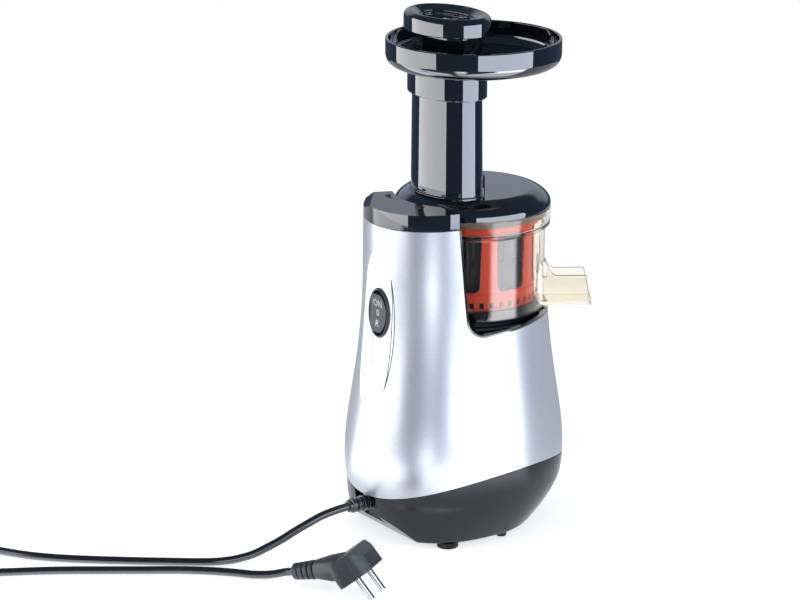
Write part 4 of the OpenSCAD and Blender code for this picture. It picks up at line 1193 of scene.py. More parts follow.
@dataclass
class Housing:
    """The silver shell with its leaf-shaped flat, its switch panel, the black liner of the cut-out and grey
    lines of painted shadow in the grooves beside the flat.
    """

    low: float = 26.0
    trim: float = 1.5
    liner: float = 2.2
    well_r: float = 52.4
    well_z: float = 155.0
    well_floor: float = 2.6
    drain_r: float = 13.0
    sill: float = 163.8
    liner_top: float = 242.0
    hole: float = 19.15
    hole_slim: float = 0.662
    bulges: Pair = (0.0, 3.2)
    groove_r: float = 0.42
    # The radius of the grey lines in the grooves, which are painted shadow.
    painted_shadow_r: float = 0.36
    line_low: float = 120.0
    line_high: float = 204.0

    def switch_hole(self) -> Thing:
        """Return the cutter for the switch's bezel."""
        oval = ellipse(self.hole * self.hole_slim, self.hole)
        return prism("switch_hole", oval, -40, 20, BODY.switch_place())

    def line(self, name: str, bulge: float, radius: float) -> Thing:
        """Return a round line down one side of the flat.

        Args:
            name: the object's name.
            bulge: how far its middle is drawn towards the flat's middle.
            radius: its radius.

        Returns:
            The solid.
        """
        edge = []
        for k in range(61):
            z = self.line_low + (self.line_high - self.line_low) * k / 60
            r, y = BODY.half(z), BODY.flat_y_at(z)
            if y < r - 0.02:
                edge.append(Vector((-BODY.slimness * math.sqrt(r * r - y * y), y, z)))
        low, high = edge[0].z, edge[-1].z
        rings = []
        for p in edge:
            t = (p.z - low) / (high - low)
            x = p.x + bulge * math.sin(math.pi * t) * (1 if abs(p.x) > bulge else 0)
            rings.append([(x + a, p.y + b, p.z) for a, b in ellipse(radius, radius, 8)])
        return loft(name, rings)

    def build_shell(self) -> None:
        """Make the silver shell."""
        shell = BODY.oval("housing_shell", self.low, 262.0)
        combine(
            shell, Cut.AWAY, BODY.oval("inside", self.low - 4, 266.0, BODY.wall),
            BODY.under_seam(BODY.gap / 2), BODY.above(BODY.cover_z - BODY.cover_h - BODY.gap / 2),
            side_view(front_cut(self.trim)), BODY.scoop(), self.switch_hole(),
        )
        combine(shell, Cut.AWAY, *(self.line("groove", bulge, self.groove_r) for bulge in self.bulges))
        place(tidy(shell, angle=8.0), Look.SILVER, "base_unit", "housing")

    def build_groove_painted_shadow(self) -> None:
        """Fill the grooves beside the flat with fine grey lines: painted shadow, laid where the grooves hold
        only shade.
        """
        lines = join([self.line("flat_lines", bulge, self.painted_shadow_r) for bulge in self.bulges], "flat_lines")
        # Painted shadow: the grey lines stand for the shade inside the grooves.
        place(lines, Look.ROCKER, "base_unit")

    def build_panel(self) -> None:
        """Make the panel behind the flat, which closes it where it cuts through the wall."""
        panel = BODY.oval("flat_panel", 112.0, 212.0, BODY.wall + 0.2)
        combine(panel, Cut.COMMON, block("panel_box", (-26, 66.2, 110), (26, 110, 214)))
        combine(panel, Cut.AWAY, BODY.scoop(), self.switch_hole())
        place(tidy(panel, angle=24.0), Look.SILVER, "base_unit", "switch_panel")

    def build_edge(self) -> Thing:
        """Make the thin trim that fills the cut-out's edge in the silver.

        Returns:
            The trim.
        """
        edge = side_view(front_cut(self.trim - 0.12), "trim")
        combine(edge, Cut.AWAY, side_view(front_cut()))
        combine(edge, Cut.COMMON, BODY.oval("form", 150.0, 250.0, 0.12))
        over = BODY.above(BODY.cover_z - BODY.cover_h - BODY.gap / 2 - 0.1)
        return combine(edge, Cut.AWAY, over, BODY.oval("form", 148.0, 260.0, BODY.wall + 0.2))

    def build_liner(self) -> None:
        """Make the gloss liner: a trim round the cut-out, the back wall, the sill and the bowl's well."""
        skin = side_view(front_cut(self.liner), "liner")
        combine(skin, Cut.AWAY, side_view(front_cut()))
        combine(skin, Cut.COMMON, BODY.oval("form", 150.0, self.liner_top, BODY.wall + 0.3))
        edge = self.build_edge()
        low, high, r = self.sill - 4, self.liner_top, BODY.lid_r + 4.1
        back = BODY.turned("back", drum(r, low, high))
        rear = block("rear", (-60, 30, 150), (60, 90, high))
        combine(back, Cut.COMMON, BODY.oval("form", 150.0, 260.0, BODY.wall + 0.3), rear)
        low, high, r = self.well_z, self.sill - 0.4, self.well_r + 2.2
        well = BODY.turned("well", drum(r, low, high))
        combine(skin, Cut.JOIN, back, well)
        floor, sill, r = low + self.well_floor, self.sill - 0.5, BODY.lid_r + 1.9
        room = [
            (0, low - 1), (self.drain_r, low - 1), (self.drain_r, floor), (self.well_r, floor),
            (self.well_r, sill), (r, sill), (r, 270), (0, 270),
        ]
        combine(skin, Cut.AWAY, BODY.turned("room", room))
        combine(skin, Cut.JOIN, edge)
        skin.name = "cutout_liner"
        place(tidy(skin, angle=30.0), Look.BLACK_GLOSS, "base_unit", "bowl_seat")


@dataclass
class RearCover:
    """The sloping gloss cover behind the lid, with raised turning marks."""

    gap: float = 1.9
    wall: float = 2.4
    back: float = 36.8
    ease: float = 0.9
    mark_h: float = 0.5
    mark_turn: float = 16.0
    mark_reach: float = 7.5

    def far_slopes(self, inset: float = 0.0) -> list[Thing]:
        """Return the cutters of the sloping far end and far corner.

        Args:
            inset: how far they stand inside the cover's own slopes.

        Returns:
            Two blocks.
        """
        c = math.sqrt(0.5)
        end = Matrix((
            (-0.6018, 0.7986 * c, 0.7986 * c, 30.6), (-0.7986, -0.6018 * c, -0.6018 * c, 41.4),
            (0, -c, c, 256.8), (0, 0, 0, 1),
        ))
        corner = Matrix((
            (-0.7986, -0.4255, 0.4255, 39.0), (0.6018, -0.5647, 0.5647, 51.75),
            (0, c, c, 252.2), (0, 0, 0, 1),
        ))
        inward = Matrix.Translation((0, 0, -inset))
        return [
            block("far_end", (-60, -8, 0), (60, 80, 60), end @ inward),
            block("far_corner", (-100, -30, 0), (100, 30, 30), corner @ inward),
        ]

    def round_lid(self, inset: float = 0.0, sides: int = 160) -> list[Thing]:
        """Return the cutters of the flat front and of the round bite for the lid, drawn back."""
        reach = BODY.lid_r + self.gap + inset
        return [
            block("front", (-120, -240, 190), (120, self.back + inset, 300)),
            BODY.turned("bite", drum(reach, 190, 300), sides),
        ]

    def build_cover(self) -> None:
        """Make the cover: oval, hollow underneath, with a round bite for the lid and softened edges."""
        cover = BODY.oval("rear_shroud", 225.0, 275.0)
        low = BODY.slope(BODY.cover_z - BODY.cover_h + BODY.gap / 2)
        under = block("under", (-120, -120, -120), (120, 120, 0), low)
        combine(cover, Cut.AWAY, BODY.above(BODY.cover_z), under, *self.round_lid(sides=320))
        combine(cover, Cut.AWAY, *self.far_slopes())
        soften(cover, self.ease, 4, 50.0)
        hollow = BODY.oval("hollow", 220.0, 275.0, self.wall)
        slopes = [*self.far_slopes(self.wall), BODY.above(BODY.cover_z - self.wall)]
        combine(hollow, Cut.AWAY, *slopes, *self.round_lid(self.wall))
        combine(cover, Cut.AWAY, hollow)
        place(tidy(cover, angle=30.0), Look.BLACK_GLOSS, "base_unit", "rear_cover")

    def build_marks(self) -> None:
        """Make the two raised arrows."""
        arrow = rounded([(-4, -2.4, 0.4), (4, 0, 0.4), (-4, 2.4, 0.4)], 3)
        pieces = []
        for side in (-1, 1):
            turn = (
                BODY.slope(BODY.cover_z)
                @ Matrix.Translation((0, BODY.bowl_y, 0.02))
                @ Matrix.Rotation(math.radians(self.mark_turn * side), 4, "Z")
                @ Matrix.Translation((0, BODY.lid_r + self.mark_reach, 0))
                @ Matrix.Scale(side, 4, (1, 0, 0))
            )
            pieces.append(prism("turning_marks", arrow, 0, self.mark_h, turn))
        place(tidy(join(pieces, "turning_marks")), Look.SATIN_GREY, "base_unit", "cover_marks")


@dataclass
class Base:
    """The dark satin foot of the body, with its pocket for the cord, its sloping rear edge and its feet."""

    sides: int = 240
    corner_z: float = 36.0
    square_rear: float = 0.6
    lean_front: float = -0.3
    front_tuck: float = 11.0
    side_tuck: float = 0.0052
    rear_edge: float = 59.8
    floor: float = 3.0
    pocket_w: float = 27.0
    pocket_y: float = 72.0
    pocket_z: float = 13.0
    boot_r: float = 6.4
    vents: int = 5
    foot_r: float = 8.0
    foot_ribs: int = 22
    feet: tuple[Pair, ...] = ((50, 43), (-50, 43), (26, -42), (-26, -42))
    studs: tuple[Pair, ...] = ((56, -3), (-56, -3))

    def ring(self, z: float, inset: float = 0.0) -> list[Point]:
        """Return the base's outline at a height.

        Args:
            z: the height.
            inset: how far it is drawn in.

        Returns:
            The outline's points.
        """
        k = max(0.0, (self.corner_z - z) / (self.corner_z - BODY.foot))
        held = min(z, BODY.belly_z)
        length = BODY.half(held)
        width = BODY.slimness * BODY.belly - self.side_tuck * (BODY.belly_z - held) ** 2 - inset
        found = []
        for i in range(self.sides):
            a = 2 * math.pi * i / self.sides
            s, c = math.sin(a), math.cos(a)
            power = 2 / (2 + k * (self.square_rear if s > 0 else self.lean_front))
            half = length - (self.front_tuck * k * k if s < 0 else 0) - inset
            x, y = math.copysign(width * abs(c) ** power, c), math.copysign(half * abs(s) ** power, s)
            found.append((x, y, z))
        return found

    def slope(self, inset: float) -> Thing:
        """Make the cutter of the sloping lower rear edge.

        Args:
            inset: how far inside the outer slope it cuts.

        Returns:
            The cutter.
        """
        edge = Matrix.Translation((-100, self.rear_edge + BODY.foot - inset, BODY.foot))
        turn = edge @ Matrix.Rotation(-math.pi / 4, 4, "X")
        return block("rear_slope", (0, 0, -60), (200, 60, 60), turn)

    def build_shell(self) -> None:
        """Make the base's shell with its floor, pocket, boot hole and vents."""
        levels = [BODY.foot + 0.35 * k * k / 4 for k in range(5)] + [8 + 2.0 * k for k in range(27)]
        rings = [self.ring(z, 0.9 * (1 - min(1.0, (z - BODY.foot) / 1.4)) ** 2) for z in levels]
        shell = combine(loft("base_shell", rings), Cut.COMMON, BODY.under_seam(-BODY.gap / 2))
        inside = (BODY.foot + self.floor, 14, 22, 30, 40, 52, 66)
        inner = loft("inside", [self.ring(z, BODY.wall) for z in inside])
        combine(inner, Cut.AWAY, self.slope(BODY.wall * math.sqrt(2)))
        combine(shell, Cut.AWAY, inner)
        half, y = self.pocket_w / 2, self.pocket_y
        out = half + BODY.wall
        wall = block("pocket_wall", (-out, y - BODY.wall - 3, 7.45), (out, y + 5.4, 36.45))
        combine(shell, Cut.JOIN, wall)
        combine(shell, Cut.AWAY, self.slope(0))
        z, top = self.pocket_z, 73.0
        arch = rounded([(-half, z, 1.5), (half, z, 1.5), (half, top), (-half, top)], 5)
        pocket = prism("pocket", arch, y, y + 40, STAND)
        round_boot = STAND @ Matrix.Translation((0, BODY.cord_z, 0))
        hole = prism("boot_hole", ellipse(self.boot_r, self.boot_r, 64), 58, 80, round_boot)
        combine(shell, Cut.AWAY, pocket, hole)
        slots = [block("vents", (-24, -7 + 10 * i, 2), (24, -3 + 10 * i, 9)) for i in range(self.vents)]
        combine(shell, Cut.AWAY, *slots)
        place(tidy(shell, angle=28.0), Look.BASE_GREY, "base_unit", "base")

    def build_feet(self) -> None:
        """Make the ringed and ribbed rubber feet and the small side studs."""
        tall, r = BODY.foot - 0.02, self.foot_r
        foot = [
            (0, 0.6), (1.6, 0.6), (2.0, 0), (2.6, 0), (3.0, 0.7), (3.6, 0.7), (4.0, 0), (5.2, 0), (5.6, 0.7),
            (6.2, 0.7), (6.6, 0), (r - 1.2, 0), (r - 0.95, 0.3), (r - 0.95, tall), (0, tall),
        ]
        ribs = []
        for k in range(2 * self.foot_ribs):
            a, reach = math.pi * k / self.foot_ribs, r - (0.9 if k % 2 else 0)
            ribs.append((reach * math.cos(a), reach * math.sin(a)))
        stud = [(0, 0), (3.4, 0), (4, 0.6), (4, tall), (0, tall)]
        pieces = [lathe("rubber_feet", foot, p, 64) for p in self.feet]
        pieces += [lathe("stud", stud, p, 48) for p in self.studs]
        pieces += [prism("ribs", ribs, 0.2, tall, Matrix.Translation((x, y, 0))) for x, y in self.feet]
        place(join(pieces, "rubber_feet"), Look.RUBBER, "base_unit", "feet")


@dataclass
class Switch:
    """The oval three-way rocker in its bezel, with its printed words."""

    half: float = 19.0
    slim: float = 0.66
    rim: float = 1.8
    clear: float = 0.35
    depth: float = 17.0
    play: float = 0.7
    face_r: float = 60.0
    face_z: float = 1.6
    pin: float = 5.0
    travel: float = 8.5
    word_size: float = 7.0
    words: tuple[tuple[str, str, float], ...] = (
        ("word_on", "ON", 7.3), ("word_off", "0", 0.0), ("word_back", "R", -8.0),
    )

    def outline(self, inset: float) -> list[Pair]:
        """Return the switch's oval, drawn in by an inset."""
        return ellipse(self.half * self.slim - inset, self.half - inset, 128)

    def rings(self, levels: Sequence[Pair]) -> list[list[Point]]:
        """Return oval rings at (inset, height) levels, in the switch's own frame."""
        turn = BODY.switch_place()
        return [[tuple(turn @ Vector((x, y, z))) for x, y in self.outline(i)] for i, z in levels]

    def build_bezel(self) -> None:
        """Make the bezel: a rounded rim and a deep socket."""
        levels = [
            (0.8, -self.depth), (0.8, 0.02), (0, 0.02), (0, 0.9), (0.2, 1.4), (0.55, 1.7), (0.9, 1.8),
            (1.3, 1.72), (1.65, 1.4), (self.rim, 0.9), (self.rim, -self.depth + 2),
        ]
        bezel = tidy(loft("switch_rim", self.rings(levels)), angle=50.0)
        place(bezel, Look.ROCKER, "base_unit", "switch_bezel")

    def build_rocker(self) -> None:
        """Make the rocker with its hollow face, clear of the rim at both ends of its travel."""
        inset = self.rim + self.play
        rocker = loft("rocker_key", self.rings([(inset, -8), (inset, 3)]))
        hinge = BODY.switch_place() @ Matrix.Translation((0, 0, -self.pin))
        r = self.half - inset - 0.2
        barrel = prism("barrel", ellipse(r, r, 256), -30, 30, hinge @ ACROSS)
        middle = BODY.switch_place() @ Matrix.Translation((0, 0, self.face_r + self.face_z))
        dish = prism("dish", ellipse(self.face_r, self.face_r, 512), -30, 30, middle @ ACROSS)
        swept = []
        for side in (-1, 1):
            tip = hinge @ Matrix.Rotation(math.radians(self.travel * side), 4, "X")
            outline = self.outline(self.rim + self.clear)
            swept.append(prism("swept", outline, -12 + self.pin, 8 + self.pin, tip))
        combine(rocker, Cut.COMMON, barrel, *swept)
        combine(rocker, Cut.AWAY, dish)
        soften(rocker, 0.35, 3, 40.0)
        place(rocker, Look.ROCKER, "switch_rocker", "rocker")

    def build_words(self) -> None:
        """Print the switch's three positions on the rocker's face."""
        for name, word, up in self.words:
            text = bpy.data.curves.new(name, "FONT")
            text.body, text.size = word, self.word_size * MM
            text.align_x = text.align_y = "CENTER"
            text.extrude, text.offset = 0.02 * MM, -0.03 * MM
            holder = show(name, text)
            graph = bpy.context.evaluated_depsgraph_get()
            mesh = bpy.data.meshes.new_from_object(holder.evaluated_get(graph), depsgraph=graph)
            bpy.data.objects.remove(holder)
            for vertex in mesh.vertices:
                x, y, z = vertex.co / MM
                face = self.face_r + self.face_z - math.sqrt(self.face_r**2 - (y + up) ** 2)
                vertex.co = (BODY.switch_place() @ Vector((x, y + up, face + 0.03 + z))) * MM
            place(show(name, mesh), Look.WHITE_INK, "switch_rocker")


# ---- bowl ----


@dataclass
class Bowl:
    """The clear juicing bowl with its juice spout and pulp outlet, and the dark floor under it."""

    r: float = 54.5
    glass: float = 2.5
    low: float = 168.5
    flange: float = 232.0
    top: float = 245.6
    duct_low: float = 170.5
    spout_turn: float = -33.0
    spout_w: float = 25.5
    pulp_turn: float = 58.0
    pulp_w: float = 24.0
    plinth_r: float = 50.0
    cup_r: float = 49.0
    hub_r: float = 9.0
    post_r: float = 3.0
    idler: Point = (150.0, 28.8, 170.5)
    posts: tuple[float, ...] = (30.0, 90.0, 210.0, 270.0)
    post_reach: float = 34.0
    post_top: float = 171.98

    def outside(self) -> Thing:
        """Return the bowl's solid form.

        Returns:
            The straight wall and the stepped flange, with the spout, its gusset and the pulp outlet.
        """
        wall = [
            (0, self.low), (self.r, self.low, 0.6), (self.r, self.flange - 1.2, 1.0),
            (BODY.lid_r - 0.2, self.flange, 1.0), (BODY.lid_r, self.top, 0.6), (0, self.top),
        ]
        bowl = BODY.turned("clear_bowl", rounded(wall, 4), 224)
        root = self.r - 4
        lip, half = [(90.7, 168, 0.8), (86, 191, 0.8), (60.5, 191, 7)], self.spout_w / 2
        side = rounded([(root, 168), *lip, (self.r - 0.6, 203), (root, 203)], 6)
        spout = prism("spout", side, -half, half, BODY.around_bowl(self.spout_turn) @ STAND)
        side, half = [(root, 168), (79, 168), (76, 189), (root, 189)], self.pulp_w / 2
        pulp = prism("pulp", side, -half, half, BODY.around_bowl(self.pulp_turn) @ STAND)
        return combine(bowl, Cut.JOIN, soften(spout, 1.2), soften(pulp, 1.2))

    def build_bowl(self) -> None:
        """Make the clear bowl, hollow, with an open spout and a closed pulp outlet."""
        bowl = self.outside()
        inner, brim = self.r - self.glass, BODY.lid_r - self.glass
        room = rounded([
            (0, self.low - 1), (inner, self.low - 1), (inner, self.flange + 1.3, 1.2),
            (brim, self.flange + 2.5, 1.2), (brim, 290), (0, 290),
        ], 4)
        low, out = self.duct_low, BODY.around_bowl(self.spout_turn)
        w = self.spout_w / 2 - self.glass
        gullet = block("gullet", (self.r - 10, -w, low), (self.r + 70, w, 190.5), out)
        mouth = block("mouth", (self.r + 1.5, -w, low), (self.r + 75, w, 215), out)
        w = self.pulp_w / 2 - self.glass
        out = BODY.around_bowl(self.pulp_turn)
        duct = block("duct", (self.r - 10, -w, low), (self.r + 70, w, 186.5), out)
        hollows = [BODY.turned("room", room, 224), soften(gullet, 1.5), mouth, soften(duct, 1.5)]
        combine(bowl, Cut.AWAY, *hollows)
        place(tidy(bowl, angle=30.0), Look.AMBER, "juicing_bowl", "bowl")

    def build_floor(self) -> None:
        """Make the dark floor: plinth, cup, hub hole, idler pin and posts, with passages to both outlets."""
        fit = self.r - self.glass - 0.02
        outline = rounded([
            (self.hub_r, 158), (self.plinth_r, 158, 0.8), (self.plinth_r, 167), (51.2, 167),
            (51.2, self.low), (fit, self.low), (fit, 176, 0.5), (self.cup_r, 176, 0.5),
            (self.cup_r, 164, 1.5), (self.hub_r, 164),
        ], 4)
        floor = BODY.turned("bowl_base", outline, 192)
        for turn, width in ((self.spout_turn, self.spout_w), (self.pulp_turn, self.pulp_w)):
            half = width / 2 - self.glass
            way = block("way", (40, -half, self.duct_low), (70, half, 190), BODY.around_bowl(turn))
            combine(floor, Cut.AWAY, way)
        pieces = [floor]
        for turn, reach, tall in (self.idler, *((t, self.post_reach, self.post_top) for t in self.posts)):
            a, r = math.radians(turn), self.post_r
            spot = (reach * math.cos(a), BODY.bowl_y + reach * math.sin(a))
            side = [(0, 163.5), (r, 163.5), (r, tall - 0.4), (r - 0.4, tall), (0, tall)]
            pieces.append(lathe("post", side, spot, 40))
        place(join(pieces, "bowl_base"), Look.FLOOR_DARK, "juicing_bowl", "bowl_floor")


@dataclass
class Strainer:
    """The strainer basket with its etched sheet, and the orange wiper cage that turns round it."""

    r: float = 43.6
    thick: float = 1.6
    low: float = 172.0
    top: float = 243.0
    lip: float = 3.0
    hub_r: float = 16.0
    rows: int = 2
    row_low: float = 180.0
    row_step: float = 29.0
    row_height: float = 25.0
    windows: int = 12
    window_half: float = 8.0
    wall_in: float = 45.2
    phase: float = 68.0
    wiper_out: float = 50.6
    wiper_low: float = 176.5
    wiper_top: float = 241.0
    struts: int = 8
    strut_low: float = 189.0
    strut_high: float = 233.0
    opening_low: float = 11.4
    opening_high: float = 12.8
    notches: int = 40
    notch_half: float = 1.7
    teeth: int = 56
    blade_turns: Point = (0.0, 135.0, 225.0)

    def build_frame(self, repeat: Repeat) -> None:
        """Make the rigid frame with two rows of rounded windows.

        Args:
            repeat: what sets the windows round the axis.
        """
        foot, brim = self.r - self.lip, self.r + self.lip
        basket = BODY.turned("strainer_frame", rounded([
            (self.hub_r, self.low), (foot, self.low, 1.0), (self.r - 0.2, self.top - 4, 0.5),
            (brim, self.top - 4, 0.6), (brim, self.top, 0.8), (self.r - self.thick, self.top, 0.4),
            (foot - self.thick, self.low + 2, 0.6), (self.hub_r, self.low + 2),
        ], 3), 192)
        for row in range(self.rows):
            half, z = self.window_half, self.row_low + row * self.row_step
            high = z + self.row_height
            hole = rounded([(-half, z, 2.5), (half, z, 2.5), (half, high, 2.5), (-half, high, 2.5)], 4)
            one = prism("openings", hole, 30, 50, BODY.around_bowl(90 + 15) @ SIDE)
            combine(basket, Cut.AWAY, repeat.around(one, self.windows, Look.FRAME_DARK))
        place(tidy(basket), Look.FRAME_DARK, "juicing_bowl", "strainer")

    def build_sheet(self) -> None:
        """Make the perforated sheet inside the frame."""
        low, high = self.low + 4, self.low + 64
        a, b = self.r - self.lip - self.thick - 0.1, self.r - self.thick - 0.35
        sheet = BODY.turned("strainer_sheet", [(a - 0.4, low), (a, low), (b, high), (b - 0.4, high)], 192)
        place(sheet, Look.MESH_STEEL, "juicing_bowl", "strainer_mesh")

    def build_wiper(self, repeat: Repeat) -> None:
        """Make the cage: tapered rounded windows, a notched lower ring and an inner ring of teeth.

        Args:
            repeat: what sets the windows, the notches and the teeth round the axis.
        """
        wall, out, low, top = self.wall_in, self.wiper_out, self.wiper_low, self.wiper_top
        cage = BODY.turned("wiper_cage_ring", rounded([
            (wall, low), (wall + 2.6, low, 0.5), (wall + 2.6, 187, 0.6), (wall + 2, 188.5, 0.6),
            (wall + 2, 234, 1.0), (out, 235.5, 0.5), (out, top, 0.8), (wall + 2.8, top, 0.6),
            (wall, 236, 0.8),
        ], 3), 240)
        a, b, low, high = self.opening_low, self.opening_high, self.strut_low, self.strut_high
        hole = rounded([(-a, low, 5), (a, low, 5), (b, high, 4), (-b, high, 4)], 8)
        between = BODY.around_bowl(self.phase + 180 / self.struts) @ SIDE
        windows = repeat.around(prism("openings", hole, 35, 60, between), self.struts, Look.ORANGE)
        combine(cage, Cut.AWAY, windows)
        half = self.notch_half
        notch = rounded([(-half, 170), (half, 170), (half, 181.5, 0.8), (-half, 181.5, 0.8)], 3)
        one = prism("notches", notch, 40, 60, BODY.around_bowl(90 + 7.5) @ SIDE)
        combine(cage, Cut.AWAY, repeat.around(one, self.notches, Look.ORANGE))
        soften(cage, 0.35, 2, 50.0)
        side = [(46.6, 165), (48.6, 165), (48.6, 175), (47.4, 177.2), (46.2, 177.2), (46.6, 175)]
        skirt = BODY.turned("skirt", side, 192)
        tooth = [(45.0, -0.6), (46.9, -1.1), (46.9, 1.1), (45.0, 0.6)]
        one = prism("teeth", tooth, 165, 170.5, BODY.around_bowl(90))
        ring = repeat.around(one, self.teeth, Look.ORANGE)
        place(join([cage, skirt, ring], "wiper_cage_ring"), Look.ORANGE, "wiper_cage", "wiper")

    def build_blades(self) -> None:
        """Make the three silicone blades, each on a strut of the cage."""
        pieces = []
        for turn in self.blade_turns:
            strut = BODY.around_bowl(self.phase + turn)
            pieces.append(block("blade", (44.0, -0.8, 190), (46.2, 0.8, 232), strut))
        blades = tidy(join(pieces, "silicone_blades"))
        place(blades, Look.SILICONE, "wiper_cage", "wiper_blades")


@dataclass
class Auger:
    """The squeezing screw: a tapered core, a disc, a gear and three blades."""

    low: float = 175.5
    high: float = 238.0
    foot: float = 30.0
    tip: float = 13.0
    disc_r: float = 38.0
    disc_h: float = 3.0
    neck_r: float = 10.4
    pin_r: float = 4.0
    pin_top: float = 252.8
    hex_r: float = 6.5
    blade_r: float = 38.3
    flare: float = 2.0
    turns: float = 1.25
    starts: int = 3
    teeth: int = 16
    module: float = 1.6
    gear_low: float = 165.0
    gear_high: float = 170.5

    def core_r(self, z: float) -> float:
        """Return the core's radius at a height."""
        low = self.low + 3
        return self.foot - (self.foot - self.tip) * (z - low) / (self.high - low)

    def build_gear(self) -> Thing:
        """Make the ring of teeth under the disc, which drives the idler.

        Returns:
            The gear.
        """
        r = self.module * self.teeth / 2 - 0.2
        root, step = r - 1.7 * self.module, 2 * math.pi / self.teeth
        flank = (root + r) / 2 + 0.2
        shares, reaches = (-0.36, -0.24, -0.15, 0.15, 0.24, 0.36), (root, flank, r, r, flank, root)
        outline = []
        for i in range(self.teeth):
            for share, reach in zip(shares, reaches):
                a = (i + share) * step
                outline.append((reach * math.cos(a), reach * math.sin(a)))
        gear = prism("gear", outline, self.gear_low, self.gear_high, Matrix.Translation((0, BODY.bowl_y, 0)))
        bore = BODY.turned("bore", drum(10.2, 160, 180), 64)
        return combine(gear, Cut.AWAY, bore)

    def build_core(self) -> None:
        """Make the core with its foot disc, its gear and its hexagonal socket."""
        disc, top = self.low + self.disc_h, self.pin_top
        core = BODY.turned("screw_core", rounded([
            (0, self.gear_low), (self.neck_r, self.gear_low), (self.neck_r, self.low),
            (self.disc_r, self.low, 0.5), (self.disc_r, disc, 0.6), (self.foot, disc, 1.2),
            (self.tip, self.high, 2.0), (self.pin_r, self.high, 0.6), (self.pin_r, top, 0.8), (0, top),
        ], 5), 128)
        shaft = Matrix.Translation((0, BODY.bowl_y, 0))
        combine(core, Cut.AWAY, prism("socket", ellipse(self.hex_r, self.hex_r, 6), 160, 195, shaft))
        screw = join([tidy(core), self.build_gear()], "screw_core")
        place(screw, Look.FRAME_DARK, "auger_screw", "auger")

    def build_blades(self, repeat: Repeat) -> None:
        """Make the three helical blades, thick at the core and thin at the tip.

        Args:
            repeat: what sets the three round the axis.
        """
        steps = 120
        start, end = self.low + 4.5, self.high - 4
        rings = []
        for i in range(steps + 1):
            t = i / steps
            a = 2 * math.pi * self.turns * t
            z = start + (end - start) * t
            tip = self.blade_r + self.flare * t
            foot, head = self.core_r(z - 3) - 0.8, self.core_r(z + 3) - 0.8
            edge = ((foot, -3), (tip - 0.5, -1), (tip, -0.6), (tip, 0.6), (tip - 0.5, 1), (head, 3))
            rings.append([(r * math.cos(a), BODY.bowl_y + r * math.sin(a), z + rise) for r, rise in edge])
        blades = repeat.around(loft("screw_blades", rings), self.starts, Look.FRAME_DARK)
        place(tidy(blades), Look.FRAME_DARK, "auger_screw", "auger_blades")


# ---- lid and feed ----


@dataclass
class Lid:
    """The domed lid with its feed chute, its stiffening ribs and its hub."""

    low: float = 245.8
    flat_r: float = 42.9
    top: float = 259.2
    edge: float = 1.8
    thick: float = 2.4
    chute_top: float = 350.0
    draft: float = 1.0
    rib_turn: float = 36.0
    rib_half: float = 1.2

    def dome(self, inset: float, low: float) -> list[Pair]:
        """Return the dome's outline.

        Args:
            inset: how far it is drawn in.
            low: the height of its open edge.

        Returns:
            The (radius, height) points.
        """
        found = [(0.0, low), (BODY.lid_r - inset, low)]
        start = self.low + self.edge
        for i in range(17):
            t = i / 16
            drop = (BODY.lid_r - self.flat_r) * (1 - math.cos(math.pi / 2 * t)) * (1 - 0.35 * t) / 0.65
            height = (self.top - inset - start) * math.sin(math.pi / 2 * t)
            found.append((BODY.lid_r - inset - drop, start + height))
        return [*found, (0.0, self.top - inset)]

    def build_lid(self) -> None:
        """Make the lid in one piece with its chute."""
        r, top, bore = BODY.chute_r, self.top, BODY.chute_bore
        foot = r + self.draft
        lid = BODY.turned("domed_lid", self.dome(0, self.low), 256)
        combine(lid, Cut.AWAY, BODY.turned("under", self.dome(self.thick, self.low - 1), 192))
        tube = rounded([
            (0, self.low + 4), (foot + 1.2, self.low + 4), (foot + 1.2, top + 1.0, 0.5),
            (foot, top + 1.6, 0.5), (r, self.chute_top, 0.6), (0, self.chute_top),
        ], 4)
        combine(lid, Cut.JOIN, BODY.feed("tube", tube))
        low, high = top - 2, top + 16
        fin = rounded([(-0.5, low), (4.4, low), (4.4, top + 12, 3), (0.6, high), (-0.5, high)], 5)
        for side in (-1, 1):
            a = math.radians(-90 + side * self.rib_turn)
            x, y = (r - 1 + BODY.stretch) * math.cos(a), BODY.chute_y + (r - 1) * math.sin(a)
            out = Matrix.Translation((x, y, 0)) @ Matrix.Rotation(a, 4, "Z") @ STAND
            combine(lid, Cut.JOIN, prism("fin", fin, -self.rib_half, self.rib_half, out))
        combine(lid, Cut.AWAY, BODY.feed("bore", drum(bore, 200, 400)))
        hub = [(7, 243.8), (10, 243.8), (10, 258.2), (0, 258.2), (0, 251.4), (7, 251.4)]
        combine(lid, Cut.JOIN, BODY.turned("hub", hub, 96))
        place(tidy(lid, angle=26.0), Look.BLACK_GLOSS, "lid_group", "lid")


@dataclass
class Tray:
    """The shallow round feed tray with its socket ring."""

    r: float = 65.1
    top: float = 372.0
    floor: float = 351.5
    thick: float = 2.4
    bend: float = 13.0
    play: float = 0.35
    ring_grow: float = 3.8
    ring_z: float = 333.0
    stop_z: float = 350.4

    def build(self) -> None:
        """Make the tray."""
        inside, base = self.r - self.thick, self.floor + self.thick
        outline = [
            (0, self.floor), (self.r, self.floor, self.bend), (self.r, self.top - 2.2, 0.4),
            (self.r, self.top, 0.9), (inside, self.top, 0.9), (inside, base, self.bend - self.thick),
            (0, base),
        ]
        tray = BODY.turned("feed_dish", rounded(outline, 10), 256)
        r, low, high = BODY.chute_r + self.ring_grow, self.ring_z, self.floor + 1
        ring = rounded([(0, low), (r, low, 0.8), (r, high), (0, high)], 4)
        combine(tray, Cut.JOIN, BODY.feed("ring", ring))
        socket = BODY.feed("socket", drum(BODY.chute_r + self.play, 320, self.stop_z))
        combine(tray, Cut.AWAY, socket, BODY.feed("bore", drum(BODY.chute_bore, 300, 400)))
        place(tidy(tray, angle=26.0), Look.BLACK_GLOSS, "feed_tray", "tray")


